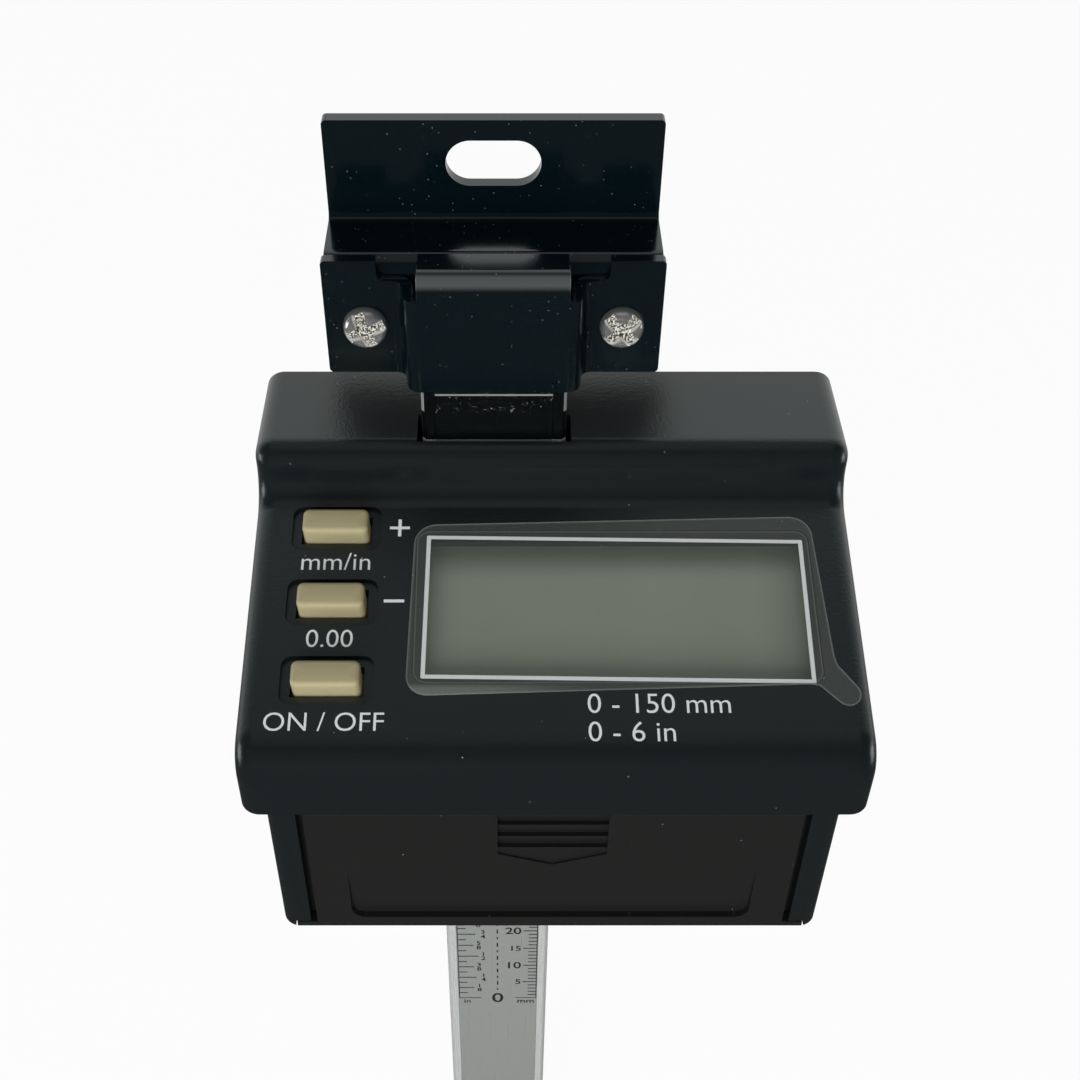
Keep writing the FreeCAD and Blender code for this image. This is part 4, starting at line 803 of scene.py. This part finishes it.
# window print: a white border, slightly turned, on a dark surround with a thin pale edge, each at its n
border = {"x": 6.7, "u": 14.69, "wide": 41.2, "tall": 17.45, "line": 0.45, "turn": math.radians(0.8),
          "round": 0.15, "innerRound": 0.05, "n": -0.08}
surround = {"x": 6.6, "u": 14.4, "wide": 42.86, "tall": 18.56, "round": 1.38, "n": -0.09,
            "edge": 0.14, "edgeN": -0.085}
printWhite = plainFinish("printWhite", (0.82, 0.86, 0.86), 0.5)
printBlack = plainFinish("printBlack", (0.010, 0.012, 0.013), 0.35)
lensEdge = plainFinish("lensEdge", (0.075, 0.085, 0.075), 0.3)


def flatRing(name, outer, inner, n):
    # a flat band on the face between two closed outlines of equal length, given in x and up-slope
    rows = np.stack([outer, inner])
    points = onFace(rows[..., 0], -rows[..., 1], n)
    return meshObject(name, points, gridFaces(2, len(outer)), smooth=False)


def outlineAt(look, line, radius, angle):
    # a rounded rectangle, smaller by the line all round, turned clockwise and shifted to its centre
    ring = roundRect(look["wide"] - 2 * line, look["tall"] - 2 * line, radius)
    c, s = math.cos(angle), math.sin(angle)
    return np.stack([look["x"] + ring[:, 0] * c + ring[:, 1] * s,
                     -look["u"] - ring[:, 0] * s + ring[:, 1] * c], -1)


outer = outlineAt(border, 0.0, border["round"], border["turn"])
inner = outlineAt(border, border["line"], border["innerRound"], border["turn"])
mask = outlineAt(surround, 0.0, surround["round"], 0.0)
maskIn = outlineAt(surround, surround["edge"], surround["round"] - surround["edge"], 0.0)
dress(flatRing("windowBorder", outer, inner, border["n"]), printWhite, "head")
dress(flatRing("windowMask", mask, outer, surround["n"]), printBlack, "head")
dress(flatRing("windowEdge", mask, maskIn, surround["edgeN"]), lensEdge, "head")

# peel film: corners in x and u, then its rounding, height over the face, rim, pull tab and looks, and where
# along Y and X its pale strip, a painted highlight, starts and is full
film = {"corners": [(-15.1, 4.4), (28.45, 3.3), (29.5, 23.75), (-15.6, 25.2)], "round": 2.2, "full": 0.75,
        "arcSteps": 9, "low": 0.02, "high": 0.11, "rim": 0.22, "tab": (30.3, 24.95), "tabCorner": 2,
        "tabRound": 1.35, "tabSteps": 13, "tabLean": 1.5, "neckFrom": 3.2, "neckTo": 1.9, "neckOut": 0.25,
        "tone": (0.41, 0.45, 0.41), "gloss": 0.16, "alpha": 0.06, "rimAlpha": 0.18,
        "pale": {"Y": (-38.9, -39.7), "X": (12.0, -4.0)}, "paleAlpha": 0.17}


def filmOutline():
    # a quad with rounded corners, counter-clockwise from outside, with a round-ended tab at one corner
    corners = [np.array(c) for c in film["corners"]]
    outline = []
    for k in (3, 2, 1, 0):
        spot, before, after = corners[k], corners[(k + 1) % 4], corners[(k - 1) % 4]
        a = (before - spot) / np.linalg.norm(before - spot)
        b = (after - spot) / np.linalg.norm(after - spot)
        if k == film["tabCorner"]:
            tab = np.array(film["tab"])
            axis = tab - spot - (a + b) * film["tabLean"]
            axis = axis / np.linalg.norm(axis)
            side = np.array([-axis[1], axis[0]])
            turns = np.linspace(math.pi / 2, -math.pi / 2, film["tabSteps"])[:, None]
            arc = tab + film["tabRound"] * (np.cos(turns) * axis + np.sin(turns) * side)
            neck = side * film["neckOut"]
            outline += [spot + a * film["neckFrom"], spot + a * film["neckTo"] + neck]
            outline += list(arc)
            outline += [spot + b * film["neckTo"] - neck, spot + b * film["neckFrom"]]
        else:
            t = np.linspace(0, 1, film["arcSteps"])[:, None]
            start, end = spot + a * film["round"], spot + b * film["round"]
            pull = spot * film["full"] + (start + end) * (1 - film["full"]) / 2
            outline += list((1 - t) ** 2 * start + 2 * t * (1 - t) * pull + t ** 2 * end)
    return np.array(outline)


def peelFilm():
    # the outline as a thin plate, with an inset ring above and below that carry no rim
    line = filmOutline()
    along = np.roll(line, -1, 0) - np.roll(line, 1, 0)
    along = along / np.linalg.norm(along, axis=1, keepdims=True)
    inward = np.stack([along[:, 1], -along[:, 0]], -1)
    inside = line + inward * film["rim"]
    stack = [(inside, film["low"]), (line, film["low"]), (line, film["high"]), (inside, film["high"])]
    sheet = loft("peelFilm", [onFace(ring[:, 0], ring[:, 1], n) for ring, n in stack])
    sheet.data.shade_flat()
    rim = sheet.data.attributes.new("rim", "FLOAT", "POINT")
    rim.data.foreach_set("value", np.repeat([0.0, 1.0, 1.0, 0.0], len(line)))
    return sheet


def filmFinish():
    # nearly clear, with a painted highlight as a pale line along the plate's rim, and a painted highlight
    # as a pale strip at its low left
    material, tree, shader = finish("peelClear", film["tone"], roughness=film["gloss"])
    rim = node(tree, "ShaderNodeAttribute", _attribute_name="rim").outputs["Fac"]
    clear = calc(tree, "MULTIPLY_ADD", rim, film["rimAlpha"], film["alpha"])
    axis = axes(tree, objectPlace(tree))
    edges = [ramp(tree, axis[letter], start * mm, full * mm)
             for letter, (start, full) in film["pale"].items()]
    pale = calc(tree, "MULTIPLY", *edges)
    feed(tree, calc(tree, "MULTIPLY_ADD", pale, film["paleAlpha"], clear), shader.inputs["Alpha"])
    return material


sheet = dress(peelFilm(), filmFinish(), "head")
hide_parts("window_film")
print("window made")

# lettering, generic only: labels are words, x, u, size and side, marks are x, u and whether a plus
lettering = {
    "labels": [("mm/in", -23.6, 10.1, 3.1, "CENTER"), ("0.00", -23.75, 19.5, 3.0, "CENTER"),
               ("ON / OFF", -23.8, 29.1, 3.0, "CENTER"), ("0 - 150 mm", 3.2, 27.1, 3.2, "LEFT"),
               ("0 - 6 in", 3.2, 30.25, 3.2, "LEFT")],
    "marks": [(-16.8, 4.74, True), (-17.1, 13.96, False)], "mark": 2.2, "stroke": 0.36, "rise": 0.02,
    "weight": -0.004, "curveSteps": 4,
}


def flatText(words, size, side, weight):
    # a text curve filled flat, drawn thicker or thinner by a share of its size, as a mesh at the origin
    curve = bpy.data.curves.new("words", "FONT")
    curve.body = words
    curve.size = size * mm
    curve.align_x = side
    curve.resolution_u = lettering["curveSteps"]
    curve.offset = size * weight * mm
    holder = bpy.data.objects.new("words", curve)
    bpy.context.scene.collection.objects.link(holder)
    bpy.context.view_layer.update()
    mesh = bpy.data.meshes.new_from_object(holder.evaluated_get(bpy.context.evaluated_depsgraph_get()))
    bpy.data.objects.remove(holder)
    return mesh


def printed(name, texts, rects, place):
    # text meshes, each moved by its matrix, and rectangles put on the surface by place, as one flat object
    points, faces, start = [], [], 0
    for mesh, matrix in texts:
        mesh.transform(matrix)
        spots = np.empty(len(mesh.vertices) * 3)
        mesh.vertices.foreach_get("co", spots)
        points.append(spots.reshape(-1, 3))
        faces += [[start + i for i in polygon.vertices] for polygon in mesh.polygons]
        start += len(mesh.vertices)
        bpy.data.meshes.remove(mesh)
    r = np.asarray(rects, float)
    flat = np.stack([r[:, [0, 2]], r[:, [1, 2]], r[:, [1, 3]], r[:, [0, 3]]], 1).reshape(-1, 2)
    points.append(place(flat[:, 0], flat[:, 1]))
    faces += (start + np.arange(len(flat))).reshape(-1, 4).tolist()
    return meshObject(name, np.concatenate(points), faces, smooth=False)


def faceLabels():
    # the words on the sloped face, and a plus and a minus built from bars that meet without overlap
    rise = lettering["rise"]
    texts = [(flatText(words, size, side, lettering["weight"]), faceMatrix(x, u, rise))
             for words, x, u, size, side in lettering["labels"]]
    half, thin = lettering["mark"] / 2, lettering["stroke"] / 2
    rects = []
    for x, u, plus in lettering["marks"]:
        rects.append((x - half, x + half, -u - thin, -u + thin))
        if plus:
            rects.append((x - thin, x + thin, -u + thin, -u + half))
            rects.append((x - thin, x + thin, -u - half, -u - thin))
    return printed("faceLabels", texts, rects, lambda x, y: onFace(x, -y, rise))


dress(faceLabels(), printWhite, "head")

# scale graduations: the zero's height, half the print's width, its plane, its reach in whole millimetres,
# the lengths of its ticks, the dashes down the middle, the zero line's inner ends and the width of the line
# down each side, a printed border that on the right also stands in for the shadow of the film's edge
graduation = {"zero": -146.0, "half": 6.2, "front": -13.61, "top": 117, "line": 0.22, "inch": 25.4,
              "mmShort": 1.3, "mmLong": 2.15, "inShort": 1.3, "eighth": 2.4, "quarter": 2.75,
              "halfInch": 3.2, "dashFrom": 2.7, "dashEvery": 1.9, "dashWide": 0.22, "dashShort": 0.6,
              "dashLong": 1.1, "zeroLine": 0.18, "zeroLeft": -2.65, "zeroRight": 2.9, "sideLine": 0.13}
# its words and numbers: text, size, x and drop, then the weight, sizes, gaps and drops
numerals = {"words": [("0", 4.0, 0.0, 1.35), ("in", 1.7, -5.0, 1.6), ("mm", 1.9, 4.6, 1.6)],
            "weight": 0.012, "small": 2.0, "large": 2.6, "lastLarge": 99, "gap": 0.25, "drop": 0.34,
            "inchGap": 0.75, "inchDrop": 0.9, "part": 1.5, "partUp": 0.12, "partDrop": 1.15,
            "eighthIn": 0.7}
printInk = plainFinish("printInk", (0.016, 0.019, 0.022), 0.5)


def ticks(left, right, z, thick):
    # a rectangle at each height, as left, right, low and high
    return np.stack(np.broadcast_arrays(left, right, z - thick / 2, z + thick / 2), -1)


def scaleBars():
    # millimetre ticks from the right edge, sixteenths from the left, dashes between, the zero line and a
    # line down each side, printed, the right one also a painted shadow of the film's edge
    g = graduation
    k = np.arange(1, g["top"])
    long = np.where(k % 5 == 0, g["mmLong"], g["mmShort"])
    right = ticks(g["half"] - long, g["half"], g["zero"] + k, g["line"])
    s = np.arange(1, int(g["top"] / g["inch"] * 16))
    steps = [s % 8 == 0, s % 4 == 0, s % 2 == 0]
    long = np.select(steps, [g["halfInch"], g["quarter"], g["eighth"]], g["inShort"])
    left = ticks(-g["half"], -g["half"] + long, g["zero"] + s * g["inch"] / 16, g["line"])
    z = g["zero"] + np.arange(g["dashFrom"], g["top"], g["dashEvery"])
    long = np.where(np.arange(len(z)) % 2, g["dashLong"], g["dashShort"])
    dashes = ticks(-g["dashWide"] / 2, g["dashWide"] / 2, z, long)
    starts, ends = np.array([(-g["half"], g["zeroRight"]), (g["zeroLeft"], g["half"])])
    zero = ticks(starts, ends, g["zero"], g["zeroLine"])
    low, high = g["zero"] - g["zeroLine"] / 2, g["zero"] + g["top"]
    sides = np.array([(-g["half"] - g["sideLine"], -g["half"], low, high),
                      (g["half"], g["half"] + g["sideLine"], low, high)])
    return np.concatenate([right, left, dashes, zero, sides])


def scaleText():
    # a number at every fifth millimetre, whole inches, and eighths as one number over another
    g, n = graduation, numerals
    upright = Matrix.Rotation(math.pi / 2, 4, "X")
    texts = []

    def write(words, size, side, x, z):
        # words on the print's plane, turned upright
        spot = Matrix.Translation(Vector((x, g["front"], z)) * mm)
        texts.append((flatText(words, size, side, n["weight"]), spot @ upright))

    for words, size, x, drop in n["words"]:
        write(words, size, "CENTER", x, g["zero"] - drop)
    for k in range(5, g["top"], 5):
        size = n["small"] if k % 10 or k > n["lastLarge"] else n["large"]
        write(str(k), size, "RIGHT", g["half"] - g["mmLong"] - n["gap"], g["zero"] + k - size * n["drop"])
    for k in range(1, int(g["top"] / g["inch"] * 8)):
        whole, part = divmod(k, 8)
        x, z = -g["half"] + g["halfInch"] + n["inchGap"], g["zero"] + k * g["inch"] / 8
        if part == 0:
            write(str(whole), n["large"], "CENTER", x, z - n["inchDrop"])
            continue
        low = 8 // math.gcd(part, 8)
        x = x if low < 8 else x - n["eighthIn"]
        write(str(part * low // 8), n["part"], "CENTER", x, z + n["partUp"])
        write(str(low), n["part"], "CENTER", x, z - n["partDrop"])
    return printed("scaleGraduations", texts, scaleBars(),
                   lambda x, z: np.stack([x, np.full(len(x), g["front"]), z], -1) * mm)


dress(scaleText(), printInk, "scale")
print("lettering and graduations made")
